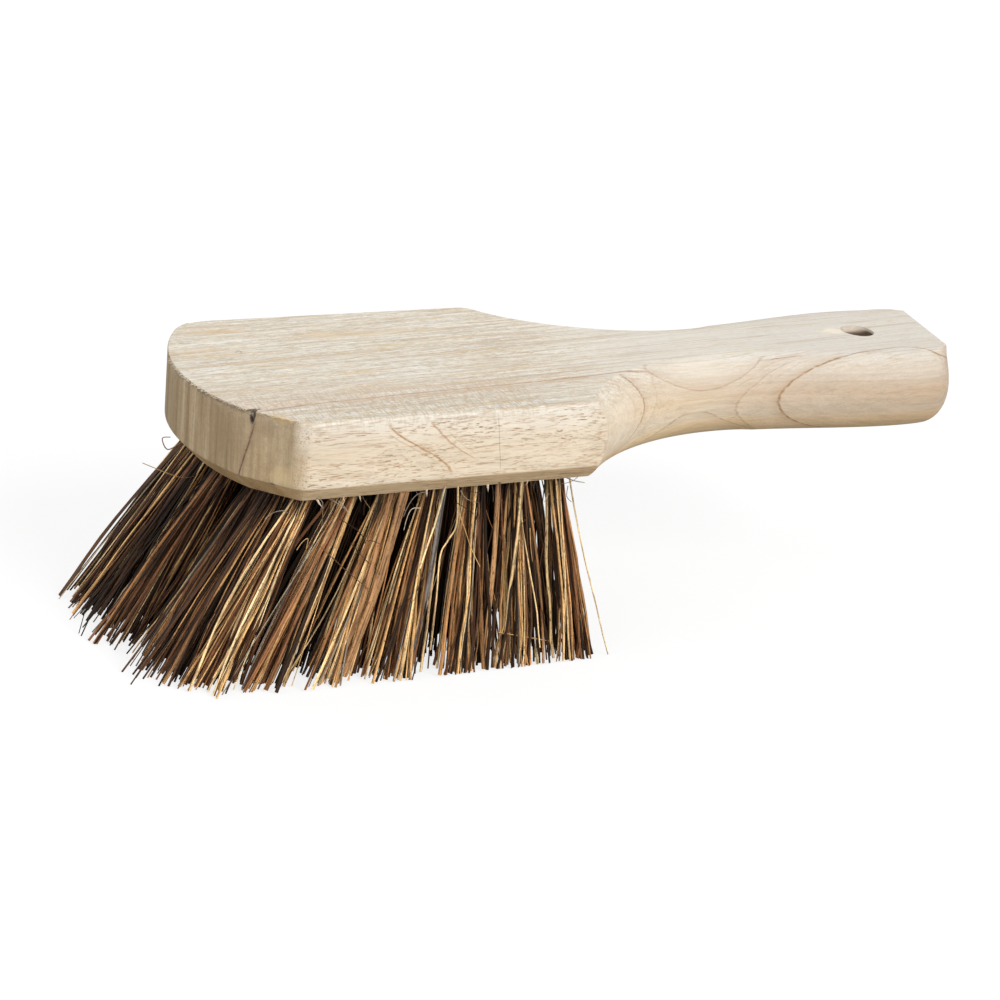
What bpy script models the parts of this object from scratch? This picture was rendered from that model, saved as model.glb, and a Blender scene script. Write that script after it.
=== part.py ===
"""A pot brush: a one-piece wooden back with its handle, set with tufts of stiff plant fibre.

Each tuft is a bundle of strands folded in two, in a blind hole drilled in the underside of the
back. A wire staple lies in the fold, and its legs are driven into the wood past the hole's end.
The brush stands on its tips. +Z is up, and +X runs from the head to the handle.
"""

import math
import random

import bmesh
import bpy
from mathutils import Vector

MM = 0.001
CLEARANCE = 0.3 * MM  # between pieces that touch on the real brush
OVERRUN = 1 * MM  # how far a cutter passes the faces that it cuts

# The back in plan, measured where it is fullest, half way down its thickness
HEAD_WIDTH = 80 * MM
HEAD_LENGTH = 99.4 * MM  # front end to the shoulders
FRONT_RADIUS = 62 * MM  # bow of the front end
CORNER_RADIUS = 14 * MM
CORNER_FLAT_DEPTH = 17 * MM  # the near corner's flat, from behind the front end
CORNER_FLAT_WIDTH = 12.6 * MM  # and in from the side
NECK_WIDTH = 41 * MM
NECK_DISTANCE = 46.4 * MM  # shoulders to where the neck is narrowest
HANDLE_LENGTH = 123.1 * MM  # shoulders to the middle of the handle's end
HANDLE_WIDTH = 54.4 * MM
BOW_RADIUS = 100 * MM  # gentle outward bow of the handle's widest part
BOW_DISTANCE = 18.8 * MM  # handle's widest place to its end
END_CORNER_RADIUS = 12 * MM
END_SLANT = math.radians(12)  # how far the end is from square

# The back in section
BACK_THICKNESS = 21.5 * MM
CHAMFER = 4.4 * MM  # round the head's lower edge
SHOULDER_TOP_ROUNDING = 3 * MM  # how far the neck's edges are rounded over, beside the head
SHOULDER_BOTTOM_ROUNDING = 4.5 * MM
NECK_BOTTOM_ROUNDING = 9.5 * MM
NECK_ROUNDING_LENGTH = 57 * MM  # shoulders to where the neck's rounding is full
HANDLE_ROUNDING = 11.5 * MM
END_TOP_ROUNDING = 0.7 * MM
END_BOTTOM_ROUNDING = 9 * MM
SHOULDER_FULLNESS_SHARE = 0.8  # 1 is a full quarter round, less leaves an edge
DOWN_SHARES = (0, 0.02, 0.08, 0.18, 0.32, 0.5, 0.68, 0.85, 1)
CHAMFER_DOWN_SHARES = (0.35, 0.65, 0.88, 1)
SHARP_ANGLE = math.radians(30)  # edges over this are shaded sharp

# How many steps each arc of the outline is drawn in
FRONT_STEPS = 7
CORNER_STEPS = 6
NECK_STEPS = 13
TAPER_STEPS = 6
BOW_STEPS = 3
END_STEPS = 7

# The hole that the brush hangs on
HANGING_HOLE_DIAMETER = 8.6 * MM
HANGING_HOLE_INSET = 23.4 * MM  # its centre, from the handle's end
HANGING_HOLE_SIDES = 24

# The tufts and their holes
BRISTLE_LENGTH = 50 * MM  # underside of the back to the tips
HOLE_DIAMETER = 7 * MM
HOLE_DEPTH = 12 * MM
HOLE_SIDES = 12
FOLD_THICKNESS = 2.5 * MM
STRAND_RADIUS = 0.55 * MM
STRAND_SIDES = 3
STRAND_SHARES = ((-0.56, 0.4), (-0.187, 0.4), (0.187, 0.4), (0.56, 0.4), (-0.21, 0.75), (0.21, 0.75))
TIP_JITTER = 0.4 * MM
OUTER_SPREAD_SHARES = (1.75, 1.75)  # a tuft's length and width at its tips over those in the hole
INNER_SPREAD_SHARES = (4.4, 2.4)
OUTER_LEAN_SHARE = 0.55  # lean of a tuft over its distance from the upright ones
INNER_LEAN_SHARE = 0.48
SIDE_LEAN_SHARE = 0.12  # how much more a tuft leans at the far side, and less at the near one
UPRIGHT_DISTANCE = 25.4 * MM  # shoulders to the tufts that stand upright
SIDE_FLARE_SHARE = 0.11  # how far the near tufts spread outwards
SWEEP_SHARE = 0.11  # how far a leaning tuft is swept to the far side, over its lean
# How a tuft of an outer and of an inner row stands out. The inner rows hold fewer tufts than the
# real brush has, so theirs fan out along the row to fill it.
OUTER_TUFT = (OUTER_SPREAD_SHARES, OUTER_LEAN_SHARE)
INNER_TUFT = (INNER_SPREAD_SHARES, INNER_LEAN_SHARE)
# Each row: place across as a share of the half width, tufts, first and last as shares of the head
ROW_SHARES = (
    (-0.765, 7, 0.778, 0.09, OUTER_TUFT),
    (-0.385, 5, 0.81, 0.1, INNER_TUFT),
    (0, 5, 0.84, 0.17, INNER_TUFT),
    (0.385, 5, 0.825, 0.1, INNER_TUFT),
    (0.765, 7, 0.79, 0.09, OUTER_TUFT),
)

# The staples
WIRE_DIAMETER = 1 * MM
WIRE_BORE_SIDES = 8
STAPLE_WIDTH = 4.6 * MM  # between the middles of its legs
STAPLE_BEND = 0.7 * MM
STAPLE_BITE = 5 * MM  # how far its legs go into the wood past the hole's end


def clear_scene():
    for obj in list(bpy.data.objects):
        bpy.data.objects.remove(obj, do_unlink=True)


def new_collection(name):
    collection = bpy.data.collections.new(name)
    bpy.context.scene.collection.children.link(collection)
    return collection


def new_material(name, colour, roughness, metallic=0):
    material = bpy.data.materials.new(name)
    material.use_nodes = True
    shader = material.node_tree.nodes["Principled BSDF"]
    shader.inputs["Base Color"].default_value = (*colour, 1)
    shader.inputs["Roughness"].default_value = roughness
    shader.inputs["Metallic"].default_value = metallic
    return material


def new_object(name, mesh, collection, parent, location=(0, 0, 0), material=None):
    obj = bpy.data.objects.new(name, mesh)
    collection.objects.link(obj)
    obj.parent = parent
    obj.location = location
    if material:
        mesh.materials.clear()
        mesh.materials.append(material)
    return obj


def mesh_from(bm, name):
    bmesh.ops.recalc_face_normals(bm, faces=bm.faces)
    mesh = bpy.data.meshes.new(name)
    bm.to_mesh(mesh)
    bm.free()
    return mesh


def add_prism(bm, rings):
    """Joins rings of points, one below the other, into a closed body."""
    loops = [[bm.verts.new(point) for point in ring] for ring in rings]
    count = len(loops[0])
    for upper, lower in zip(loops, loops[1:]):
        for i in range(count):
            following = (i + 1) % count
            bm.faces.new((upper[i], upper[following], lower[following], lower[i]))
    bm.faces.new(loops[0])
    bm.faces.new(reversed(loops[-1]))


def polygon(radius, sides, x=0, y=0, z=0, turn=0):
    """A regular polygon's corners, level, about a point."""
    angles = [turn + math.tau * i / sides for i in range(sides)]
    return [(x + radius * math.cos(a), y + radius * math.sin(a), z) for a in angles]


def cut(obj, cutter, operation="DIFFERENCE"):
    cutter.hide_render = True
    cutter.display_type = "WIRE"
    modifier = obj.modifiers.new(cutter.name, "BOOLEAN")
    modifier.operation = operation
    modifier.object = cutter


def between(start, end, share):
    return start + (end - start) * share


def angles_between(start, end, count):
    """Angles from start to end, with neither of them left out."""
    return [between(start, end, i / count) for i in range(count + 1)]


# The outline's arcs, half way down the thickness, on the +Y side
FRONT_CENTRE_X = FRONT_RADIUS - HEAD_LENGTH
CORNER_CENTRE_Y = HEAD_WIDTH / 2 - CORNER_RADIUS
CORNER_REACH = math.sqrt((FRONT_RADIUS - CORNER_RADIUS) ** 2 - CORNER_CENTRE_Y**2)
CORNER_CENTRE_X = FRONT_CENTRE_X - CORNER_REACH
CORNER_ANGLE = math.atan2(CORNER_CENTRE_Y, CORNER_REACH)
NECK_DEPTH = (HEAD_WIDTH - NECK_WIDTH) / 2
NECK_RADIUS = (NECK_DISTANCE**2 + NECK_DEPTH**2) / (2 * NECK_DEPTH)
NECK_CENTRE_Y = NECK_WIDTH / 2 + NECK_RADIUS
BOW_CENTRE_X = HANDLE_LENGTH - BOW_DISTANCE
BOW_CENTRE_Y = HANDLE_WIDTH / 2 - BOW_RADIUS
TAPER_LENGTH = BOW_CENTRE_X - NECK_DISTANCE
END_CENTRE_X = HANDLE_LENGTH - END_CORNER_RADIUS
END_REACH = END_CENTRE_X - BOW_CENTRE_X
END_CENTRE_Y = BOW_CENTRE_Y + math.sqrt((BOW_RADIUS - END_CORNER_RADIUS) ** 2 - END_REACH**2)
END_ANGLE = math.asin(END_REACH / (BOW_RADIUS - END_CORNER_RADIUS))


def rounding_at(depth, top, bottom, fullness):
    """How far a rounded edge stands in from the outline at a depth below the top face."""
    height = 1 - 2 * depth / BACK_THICKNESS
    full = 1 - math.sqrt(1 - fullness**2)
    share = (1 - math.sqrt(1 - (fullness * height) ** 2)) / full
    return share * (top if height > 0 else bottom)


def grip_roundings(x):
    """How far the handle's top and bottom edges are rounded over at x, and how fully."""
    share = min(1, max(0, x / NECK_ROUNDING_LENGTH))
    further = max(0, (x - NECK_ROUNDING_LENGTH) / (HANDLE_LENGTH - NECK_ROUNDING_LENGTH))
    top = between(SHOULDER_TOP_ROUNDING, HANDLE_ROUNDING, math.sqrt(share))
    neck = between(SHOULDER_BOTTOM_ROUNDING, NECK_BOTTOM_ROUNDING, share)
    bottom = between(neck, HANDLE_ROUNDING, further)
    return top, bottom, between(SHOULDER_FULLNESS_SHARE, 1, share)


def flat_corner():
    """Ends of the near corner's flat, from the front, each with the direction that it is inset in."""
    y = HEAD_WIDTH / 2 - CORNER_FLAT_WIDTH
    end = Vector((FRONT_CENTRE_X - math.sqrt(FRONT_RADIUS**2 - y**2), y))
    start = Vector((CORNER_FLAT_DEPTH - HEAD_LENGTH, HEAD_WIDTH / 2))
    along = (end - start).normalized()
    normal = Vector((along.y, -along.x))
    front_normal = (end - Vector((FRONT_CENTRE_X, 0))).normalized()
    side_normal = Vector((0, 1))
    start_inset = (normal + side_normal) / (1 + normal.dot(side_normal))
    end_inset = (normal + front_normal) / (1 + normal.dot(front_normal))
    return ((end, end_inset), (start, start_inset))


def half_ring(down, chamfer_down, flat):
    """The outline at one level from the front end to the handle's end, on the +Y side."""
    ring = []
    chamfer = chamfer_down * CHAMFER
    depth = between(0, BACK_THICKNESS - CHAMFER, down) + chamfer

    def add_head(x, y, inset_x, inset_y):
        ring.append((x - inset_x * chamfer, y - inset_y * chamfer, -depth))

    def add_grip(x, y, normal_x, normal_y, roundings):
        inset = rounding_at(depth, *roundings)
        ring.append((x - normal_x * inset, y - normal_y * inset, -depth))

    corner = flat_corner() if flat else ()
    front_angle = math.asin(corner[0][0].y / FRONT_RADIUS) if flat else CORNER_ANGLE
    for angle in angles_between(0, front_angle, FRONT_STEPS)[: -1 if flat else None]:
        c, s = math.cos(angle), math.sin(angle)
        add_head(FRONT_CENTRE_X - FRONT_RADIUS * c, FRONT_RADIUS * s, -c, s)
    for point, inset in corner:
        add_head(*point, *inset)
    for angle in () if flat else angles_between(CORNER_ANGLE, math.pi / 2, CORNER_STEPS)[1:]:
        c, s = math.cos(angle), math.sin(angle)
        add_head(CORNER_CENTRE_X - CORNER_RADIUS * c, CORNER_CENTRE_Y + CORNER_RADIUS * s, -c, s)

    # The neck starts where its inset arc meets the head's side, which the chamfer draws in.
    shoulder_radius = NECK_RADIUS + rounding_at(depth, *grip_roundings(0))
    shoulder_angle = math.acos((NECK_CENTRE_Y - HEAD_WIDTH / 2 + chamfer) / shoulder_radius)
    for i, angle in enumerate(angles_between(shoulder_angle, 0, NECK_STEPS)):
        c, s = math.cos(angle), math.sin(angle)
        x, y = NECK_DISTANCE - NECK_RADIUS * s, NECK_CENTRE_Y - NECK_RADIUS * c
        add_grip(x, y, s, c, grip_roundings(NECK_DISTANCE * i / NECK_STEPS))

    # From its narrowest to its widest place the handle widens along an even S.
    for share in (i / TAPER_STEPS for i in range(1, TAPER_STEPS)):
        x = between(NECK_DISTANCE, BOW_CENTRE_X, share)
        y = between(NECK_WIDTH, HANDLE_WIDTH, share**2 * (3 - 2 * share)) / 2
        slope = (HANDLE_WIDTH - NECK_WIDTH) / TAPER_LENGTH * 3 * share * (1 - share)
        add_grip(x, y, *Vector((-slope, 1)).normalized(), grip_roundings(x))
    for angle in angles_between(0, END_ANGLE, BOW_STEPS):
        c, s = math.cos(angle), math.sin(angle)
        x, y = BOW_CENTRE_X + BOW_RADIUS * s, BOW_CENTRE_Y + BOW_RADIUS * c
        add_grip(x, y, s, c, grip_roundings(x))
    corner_top, corner_bottom, _ = grip_roundings(BOW_CENTRE_X + BOW_RADIUS * math.sin(END_ANGLE))
    for i, angle in enumerate(angles_between(END_ANGLE, math.pi / 2, END_STEPS)[1:], 1):
        c, s = math.cos(angle), math.sin(angle)
        share = (i / END_STEPS) ** 2
        top = between(corner_top, END_TOP_ROUNDING, share)
        bottom = between(corner_bottom, END_BOTTOM_ROUNDING, share)
        x, y = END_CENTRE_X + END_CORNER_RADIUS * s, END_CENTRE_Y + END_CORNER_RADIUS * c
        add_grip(x, y, s, c, (top, bottom, 1))
    add_grip(HANDLE_LENGTH, 0, 1, 0, (END_TOP_ROUNDING, END_BOTTOM_ROUNDING, 1))
    return ring


def slanted(x, y):
    """The handle's end isn't square: past its widest place it is sheared."""
    return x + y * math.tan(END_SLANT) * max(0, (x - BOW_CENTRE_X) / BOW_DISTANCE)


def back_rings():
    """The back's outline at each level, from its top face down."""
    levels = [(down, 0) for down in DOWN_SHARES] + [(1, share) for share in CHAMFER_DOWN_SHARES]
    rings = []
    for down, chamfer_down in levels:
        far = half_ring(down, chamfer_down, flat=False)
        near = half_ring(down, chamfer_down, flat=True)
        ring = far + [(x, -y, z) for x, y, z in reversed(near[1:-1])]
        rings.append([(slanted(x, y), y, z) for x, y, z in ring])
    return rings


def back_mesh(rings):
    """The back is lofted through its rings, because the rounding grows along the neck."""
    bm = bmesh.new()
    add_prism(bm, rings)
    mesh = mesh_from(bm, "back")
    mesh.shade_smooth()
    mesh.set_sharp_from_angle(angle=SHARP_ANGLE)
    return mesh


def tuft_places():
    """Each tuft's name, its hole's centre on the underside, how it stands out, and its seed.

    A row on one side is the mirror image of the row on the other, so it takes the same seeds.
    """
    places = []
    for row, (across, count, first, last, kind) in enumerate(ROW_SHARES, 1):
        for i in range(count):
            x = -HEAD_LENGTH * between(first, last, i / (count - 1))
            y = across * HEAD_WIDTH / 2
            seed = f"{min(row, len(ROW_SHARES) + 1 - row)} {i}"
            places.append((f"r{row}_t{i + 1}", Vector((x, y, -BACK_THICKNESS)), kind, seed))
    return places


def tuft_strands(place, kind, seed):
    """Each strand's middle in the hole and at its tip, from the hole's centre, and its turn."""
    spread, lean_share = kind
    side = -1 if place.y < 0 else 1
    draw = random.Random(seed)
    lean_share *= 1 + SIDE_LEAN_SHARE * place.y / (HEAD_WIDTH / 2)
    forward = lean_share * (place.x + UPRIGHT_DISTANCE)
    lean = Vector((forward, SIDE_FLARE_SHARE * min(0, place.y) - SWEEP_SHARE * min(0, forward)))
    strands = []
    for half in (1, -1):
        for x_share, y_share in STRAND_SHARES:
            root = Vector((x_share, half * side * y_share)) * HOLE_DIAMETER / 2
            angle, turn = draw.uniform(0, math.tau), draw.uniform(0, math.tau)
            jitter = Vector((math.cos(angle), side * math.sin(angle))) * TIP_JITTER
            strands.append((root, root * Vector(spread) + lean + jitter, side * turn))
    return strands


def strands_mesh(strands):
    bm = bmesh.new()
    for root, tip, turn in strands:
        levels = ((root, HOLE_DEPTH - CLEARANCE - FOLD_THICKNESS / 2), (root, 0), (tip, -BRISTLE_LENGTH))
        add_prism(bm, [polygon(STRAND_RADIUS, STRAND_SIDES, *point, z, turn) for point, z in levels])
    return mesh_from(bm, "strands")


def fold_mesh(cutters):
    """The folded roots: a disc at the hole's end, notched on two sides for the staple's legs."""
    top = HOLE_DEPTH - CLEARANCE
    radius = HOLE_DIAMETER / 2 - CLEARANCE
    bm = bmesh.new()
    add_prism(bm, [polygon(radius, HOLE_SIDES, z=z) for z in (top, top - FOLD_THICKNESS)])
    disc = new_object("fold_guide", mesh_from(bm, "fold"), cutters, None)
    bore_radius = WIRE_DIAMETER / 2 + CLEARANCE
    notch_end = STAPLE_WIDTH / 2 - bore_radius
    bm = bmesh.new()
    for side in (-1, 1):
        near, far = side * notch_end, side * (HOLE_DIAMETER / 2 + OVERRUN)
        corners = ((near, -bore_radius), (far, -bore_radius), (far, bore_radius), (near, bore_radius))
        levels = (top + OVERRUN, top - FOLD_THICKNESS - OVERRUN)
        add_prism(bm, [[(x, y, z) for x, y in corners] for z in levels])
    cut(disc, new_object("fold_notches", mesh_from(bm, "fold_notches"), cutters, None))
    bpy.context.view_layer.update()
    mesh = bpy.data.meshes.new_from_object(disc.evaluated_get(bpy.context.evaluated_depsgraph_get()))
    mesh.name = "fold"
    disc.hide_render = True
    disc.display_type = "WIRE"
    return mesh


def staple_curve():
    """A wire with a crown across the fold and two legs, which run up into the wood."""
    crown = HOLE_DEPTH - CLEARANCE - FOLD_THICKNESS - CLEARANCE - WIRE_DIAMETER / 2
    leg = HOLE_DEPTH + STAPLE_BITE
    half = STAPLE_WIDTH / 2
    side = ((half, leg), (half, crown + STAPLE_BEND), (half - STAPLE_BEND, crown))
    points = [(-x, z) for x, z in side] + [(x, z) for x, z in reversed(side)]
    curve = bpy.data.curves.new("staple", "CURVE")
    curve.dimensions = "3D"
    spline = curve.splines.new("POLY")
    spline.points.add(len(points) - 1)
    for point, (x, z) in zip(spline.points, points):
        point.co = (x, 0, z, 1)
    curve.bevel_depth = WIRE_DIAMETER / 2
    curve.bevel_resolution = 1
    curve.use_fill_caps = True
    return curve


def tuft_hole_cutter(places, cutters, parent):
    bm = bmesh.new()
    for _, place, *_ in places:
        levels = (place.z + HOLE_DEPTH, place.z - OVERRUN)
        add_prism(bm, [polygon(HOLE_DIAMETER / 2, HOLE_SIDES, place.x, place.y, z) for z in levels])
    return new_object("tuft_holes", mesh_from(bm, "tuft_holes"), cutters, parent)


def staple_bore_cutter(places, cutters, parent):
    radius = (WIRE_DIAMETER / 2 + CLEARANCE) / math.cos(math.pi / WIRE_BORE_SIDES)
    bm = bmesh.new()
    for _, place, *_ in places:
        for side in (-1, 1):
            x = place.x + side * STAPLE_WIDTH / 2
            levels = (HOLE_DEPTH + STAPLE_BITE + CLEARANCE, HOLE_DEPTH - OVERRUN)
            rings = [polygon(radius, WIRE_BORE_SIDES, x, place.y, place.z + z) for z in levels]
            add_prism(bm, rings)
    return new_object("staple_bores", mesh_from(bm, "staple_bores"), cutters, parent)


def hanging_hole_cutter(cutters, parent):
    x = HANDLE_LENGTH - HANGING_HOLE_INSET
    radius = HANGING_HOLE_DIAMETER / 2
    levels = (OVERRUN, -BACK_THICKNESS - OVERRUN)
    bm = bmesh.new()
    add_prism(bm, [polygon(radius, HANGING_HOLE_SIDES, x, 0, z) for z in levels])
    return new_object("hanging_hole", mesh_from(bm, "hanging_hole"), cutters, parent)


def front_reach(tufts):
    """How far forward the foremost tip reaches, counted from the shoulders."""
    corners = []
    for _, place, strands in tufts:
        for _, tip, turn in strands:
            points = polygon(STRAND_RADIUS, STRAND_SIDES, place.x + tip.x, 0, 0, turn)
            corners += [point[0] for point in points]
    return min(corners)


def main():
    clear_scene()
    parts = new_collection("pot_brush")
    cutters = new_collection("cutters")
    wood = new_material("wood", (0.72, 0.58, 0.42), 0.6)
    fibre = new_material("fibre", (0.16, 0.08, 0.03), 0.55)
    steel = new_material("wire", (0.62, 0.62, 0.6), 0.35, 1)

    rings = back_rings()
    places = tuft_places()
    tufts = [(name, place, tuft_strands(place, *rest)) for name, place, *rest in places]

    # The empty sits on the back's top face at the shoulders, and puts the origin of the model
    # under the middle of the whole brush, on what it stands on.
    brush = bpy.data.objects.new("pot_brush", None)
    parts.objects.link(brush)
    end_reach = max(x for ring in rings for x, _, _ in ring)
    brush.location = (-(front_reach(tufts) + end_reach) / 2, 0, BRISTLE_LENGTH + BACK_THICKNESS)

    back = new_object("back", back_mesh(rings), parts, brush, material=wood)
    cut(back, tuft_hole_cutter(places, cutters, brush))
    cut(back, staple_bore_cutter(places, cutters, brush))
    cut(back, hanging_hole_cutter(cutters, brush))

    fold = fold_mesh(cutters)
    staple = staple_curve()
    for name, place, strands in tufts:
        tuft = new_object(f"tuft_{name}", fold.copy(), parts, brush, place, fibre)
        cut(tuft, new_object(f"strands_{name}", strands_mesh(strands), cutters, brush, place), "UNION")
        new_object(f"staple_{name}", staple.copy(), parts, brush, place, steel)


main()
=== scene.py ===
"""Looks of the pot brush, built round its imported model.

The back is the model's loft with finer steps, soft edges, a split in its near front corner and a
burr along its front edge. Each tuft of the model is replaced by a bundle of fine fibres, and more
bundles fill the inner rows, which the model holds thinned.
"""

import math
import random

import bmesh
import bpy
import numpy as np
from mathutils import Matrix, Vector


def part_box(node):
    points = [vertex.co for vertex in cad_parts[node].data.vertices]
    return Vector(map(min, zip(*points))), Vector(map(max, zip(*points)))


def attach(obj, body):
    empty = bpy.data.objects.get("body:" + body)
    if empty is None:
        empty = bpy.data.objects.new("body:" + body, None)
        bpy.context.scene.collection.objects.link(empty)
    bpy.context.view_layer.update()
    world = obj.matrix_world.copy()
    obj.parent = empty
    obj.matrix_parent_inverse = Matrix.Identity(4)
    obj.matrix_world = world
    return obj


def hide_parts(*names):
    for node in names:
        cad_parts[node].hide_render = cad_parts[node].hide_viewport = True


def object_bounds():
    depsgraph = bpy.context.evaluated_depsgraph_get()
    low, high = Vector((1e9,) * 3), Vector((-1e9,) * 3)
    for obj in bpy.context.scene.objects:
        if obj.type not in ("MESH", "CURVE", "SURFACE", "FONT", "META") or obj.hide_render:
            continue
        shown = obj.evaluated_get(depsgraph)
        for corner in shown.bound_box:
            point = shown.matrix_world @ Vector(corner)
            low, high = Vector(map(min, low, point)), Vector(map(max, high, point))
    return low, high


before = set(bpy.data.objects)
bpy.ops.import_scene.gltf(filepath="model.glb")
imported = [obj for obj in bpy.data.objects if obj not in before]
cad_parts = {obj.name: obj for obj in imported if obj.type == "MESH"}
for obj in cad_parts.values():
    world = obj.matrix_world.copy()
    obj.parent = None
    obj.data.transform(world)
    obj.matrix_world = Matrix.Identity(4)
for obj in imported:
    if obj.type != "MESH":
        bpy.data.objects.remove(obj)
cad_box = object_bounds()
LOW, HIGH = cad_box

MM = 0.001

# The back's sizes, as in the model's source
HEAD_WIDTH, HEAD_LENGTH = 80 * MM, 99.4 * MM
FRONT_RADIUS, CORNER_RADIUS = 62 * MM, 14 * MM
CORNER_FLAT_DEPTH, CORNER_FLAT_WIDTH = 17 * MM, 12.6 * MM
NECK_WIDTH, NECK_DISTANCE = 41 * MM, 46.4 * MM
HANDLE_LENGTH, HANDLE_WIDTH = 123.1 * MM, 54.4 * MM
BOW_RADIUS, BOW_DISTANCE = 100 * MM, 18.8 * MM
END_CORNER_RADIUS, END_SLANT = 12 * MM, math.radians(12)
BACK_THICKNESS, CHAMFER = 21.5 * MM, 4.4 * MM
SHOULDER_TOP_ROUNDING, SHOULDER_BOTTOM_ROUNDING = 3 * MM, 4.5 * MM
NECK_BOTTOM_ROUNDING, NECK_ROUNDING_LENGTH = 9.5 * MM, 57 * MM
HANDLE_ROUNDING, END_BOTTOM_ROUNDING = 11.5 * MM, 9 * MM
SHOULDER_FULLNESS = 0.8
HANGING_HOLE_DIAMETER, HANGING_HOLE_INSET = 8.6 * MM, 23.4 * MM
HOLE_DIAMETER, HOLE_DEPTH = 7 * MM, 12 * MM
BRISTLE_LENGTH = 50 * MM

# Edges that are softer than the model's
END_TOP_ROUNDING = 1.3 * MM
FLAT_CORNER_RADIUS = 6.5 * MM
TOP_EDGE_RADIUS, SIDE_EDGE_RADIUS, EDGE_CHANGE_LENGTH = 0.25 * MM, 1.2 * MM, 6 * MM
CHAMFER_EASE = 0.25 * MM

# Where the back's top face meets its shoulders, in the frame
SHOULDER_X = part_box("back")[0][0] + HEAD_LENGTH
TOP_Z = BRISTLE_LENGTH + BACK_THICKNESS


def between(start, end, share):
    return start + (end - start) * share


def clipped(share):
    return min(1, max(0, share))


def place_mm(x, y, z):
    """A place given in mm from the middle of the shoulders on the top face."""
    return Vector((SHOULDER_X + x * MM, y * MM, TOP_Z + z * MM))


def mesh_object(name, points, faces, material=None, smooth=True):
    mesh = bpy.data.meshes.new(name)
    mesh.from_pydata([tuple(point) for point in points], [], faces)
    mesh.update()
    if material:
        mesh.materials.append(material)
    if smooth:
        mesh.shade_smooth()
    obj = bpy.data.objects.new(name, mesh)
    bpy.context.scene.collection.objects.link(obj)
    return obj


def outward(obj):
    """Turns the faces outwards."""
    bm = bmesh.new()
    bm.from_mesh(obj.data)
    bmesh.ops.recalc_face_normals(bm, faces=bm.faces)
    bm.to_mesh(obj.data)
    bm.free()


# Materials


class Nodes:
    """Builds a node tree with short calls, most of which return an output socket."""

    def __init__(self, name):
        self.material = bpy.data.materials.new(name)
        self.material.use_nodes = True
        self.tree = self.material.node_tree
        self.shader = self.tree.nodes["Principled BSDF"]

    def link(self, value, socket):
        if isinstance(value, bpy.types.NodeSocket):
            self.tree.links.new(value, socket)
        elif socket.type == "RGBA" and len(value) == 3:
            socket.default_value = (*value, 1)
        else:
            socket.default_value = value

    def node(self, kind, inputs=(), **settings):
        """Makes a node. Its inputs are outputs or values, in their order or by name or number."""
        node = self.tree.nodes.new(kind)
        for key, value in settings.items():
            setattr(node, key, value)
        for key, value in inputs.items() if isinstance(inputs, dict) else enumerate(inputs):
            self.link(value, node.inputs[key])
        return node

    def math(self, operation, *values):
        return self.node("ShaderNodeMath", values, operation=operation).outputs[0]

    def plus(self, first, second):
        return self.math("ADD", first, second)

    def minus(self, first, second):
        return self.math("SUBTRACT", first, second)

    def times(self, product, *others):
        for other in others:
            product = self.math("MULTIPLY", product, other)
        return product

    def ramp(self, *value_and_ends):
        """A smooth step of a value from low to high: 0 to 1, or between the two levels that follow.

        It is level past both ends. A clamp would only add nodes that the renderer keeps open.
        """
        return self.node("ShaderNodeMapRange", value_and_ends, interpolation_type="SMOOTHSTEP",
                         clamp=False).outputs[0]

    def mix(self, share, first, second, blend="MIX"):
        return self.node("ShaderNodeMix", {0: share, 6: first, 7: second}, data_type="RGBA",
                         blend_type=blend).outputs[2]

    def tinted(self, colour, tint):
        return self.mix(1.0, colour, tint, "MULTIPLY")

    def shaded(self, colour, value):
        """The colour times a number, where a number above 1 counts as 1."""
        return self.tinted(colour, self.mix(value, (0, 0, 0), (1, 1, 1)))

    def split(self, vector):
        return self.node("ShaderNodeSeparateXYZ", (vector,)).outputs

    def scaled(self, vector, scale, shift=(0, 0, 0), turn=0):
        return self.node("ShaderNodeMapping", (vector, shift, (0, 0, turn), scale)).outputs[0]

    def noise(self, vector, scale, shift=(0, 0, 0), detail=2, roughness=0.5):
        inputs = {"Vector": self.scaled(vector, scale, shift), "Scale": 1, "Detail": detail,
                  "Roughness": roughness}
        return self.node("ShaderNodeTexNoise", inputs).outputs["Fac"]

    def off_middle(self, noise):
        return self.minus(noise, 0.5)

    def veins(self, noise, low, high, strength):
        """Thin lines where a noise crosses its middle."""
        return self.ramp(self.math("ABSOLUTE", self.off_middle(noise)), low, high, 0, strength)

    def colours(self, value, stops):
        node = self.node("ShaderNodeValToRGB", (value,))
        elements = node.color_ramp.elements
        while len(elements) < len(stops):
            elements.new(0.5)
        for element, (place, colour) in zip(elements, stops):
            element.position = place
            element.color = (*colour, 1)
        return node.outputs[0]

    def finish(self, **inputs):
        """Sets the shader's own inputs, with _ for each space in their names."""
        for name, value in inputs.items():
            self.link(value, self.shader.inputs[name.replace("_", " ")])
        return self.material

    def bumps(self, height, strength, distance):
        inputs = {"Strength": strength, "Distance": distance, "Height": height}
        return self.node("ShaderNodeBump", inputs).outputs[0]


WOOD_CREAM = ((0.67, 0.53, 0.365), (0.755, 0.635, 0.475), (0.82, 0.715, 0.57))
WOOD_TOP = ((0.69, 0.60, 0.47), (0.81, 0.755, 0.65), (0.90, 0.875, 0.80))
WOOD_FRONT = ((0.31, 0.22, 0.12), (0.46, 0.34, 0.20), (0.60, 0.47, 0.31))
WOOD_FLAT = ((0.325, 0.235, 0.125), (0.445, 0.33, 0.195), (0.585, 0.46, 0.29))
PORE_BROWN, RING_BROWN, FLAME_BROWN = (0.30, 0.145, 0.06), (0.31, 0.175, 0.08), (0.42, 0.22, 0.09)
GRAIN_SLOPE = 0.084

# All that is painted on the wood is in mm, from the middle of the shoulders on the top face.

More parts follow.
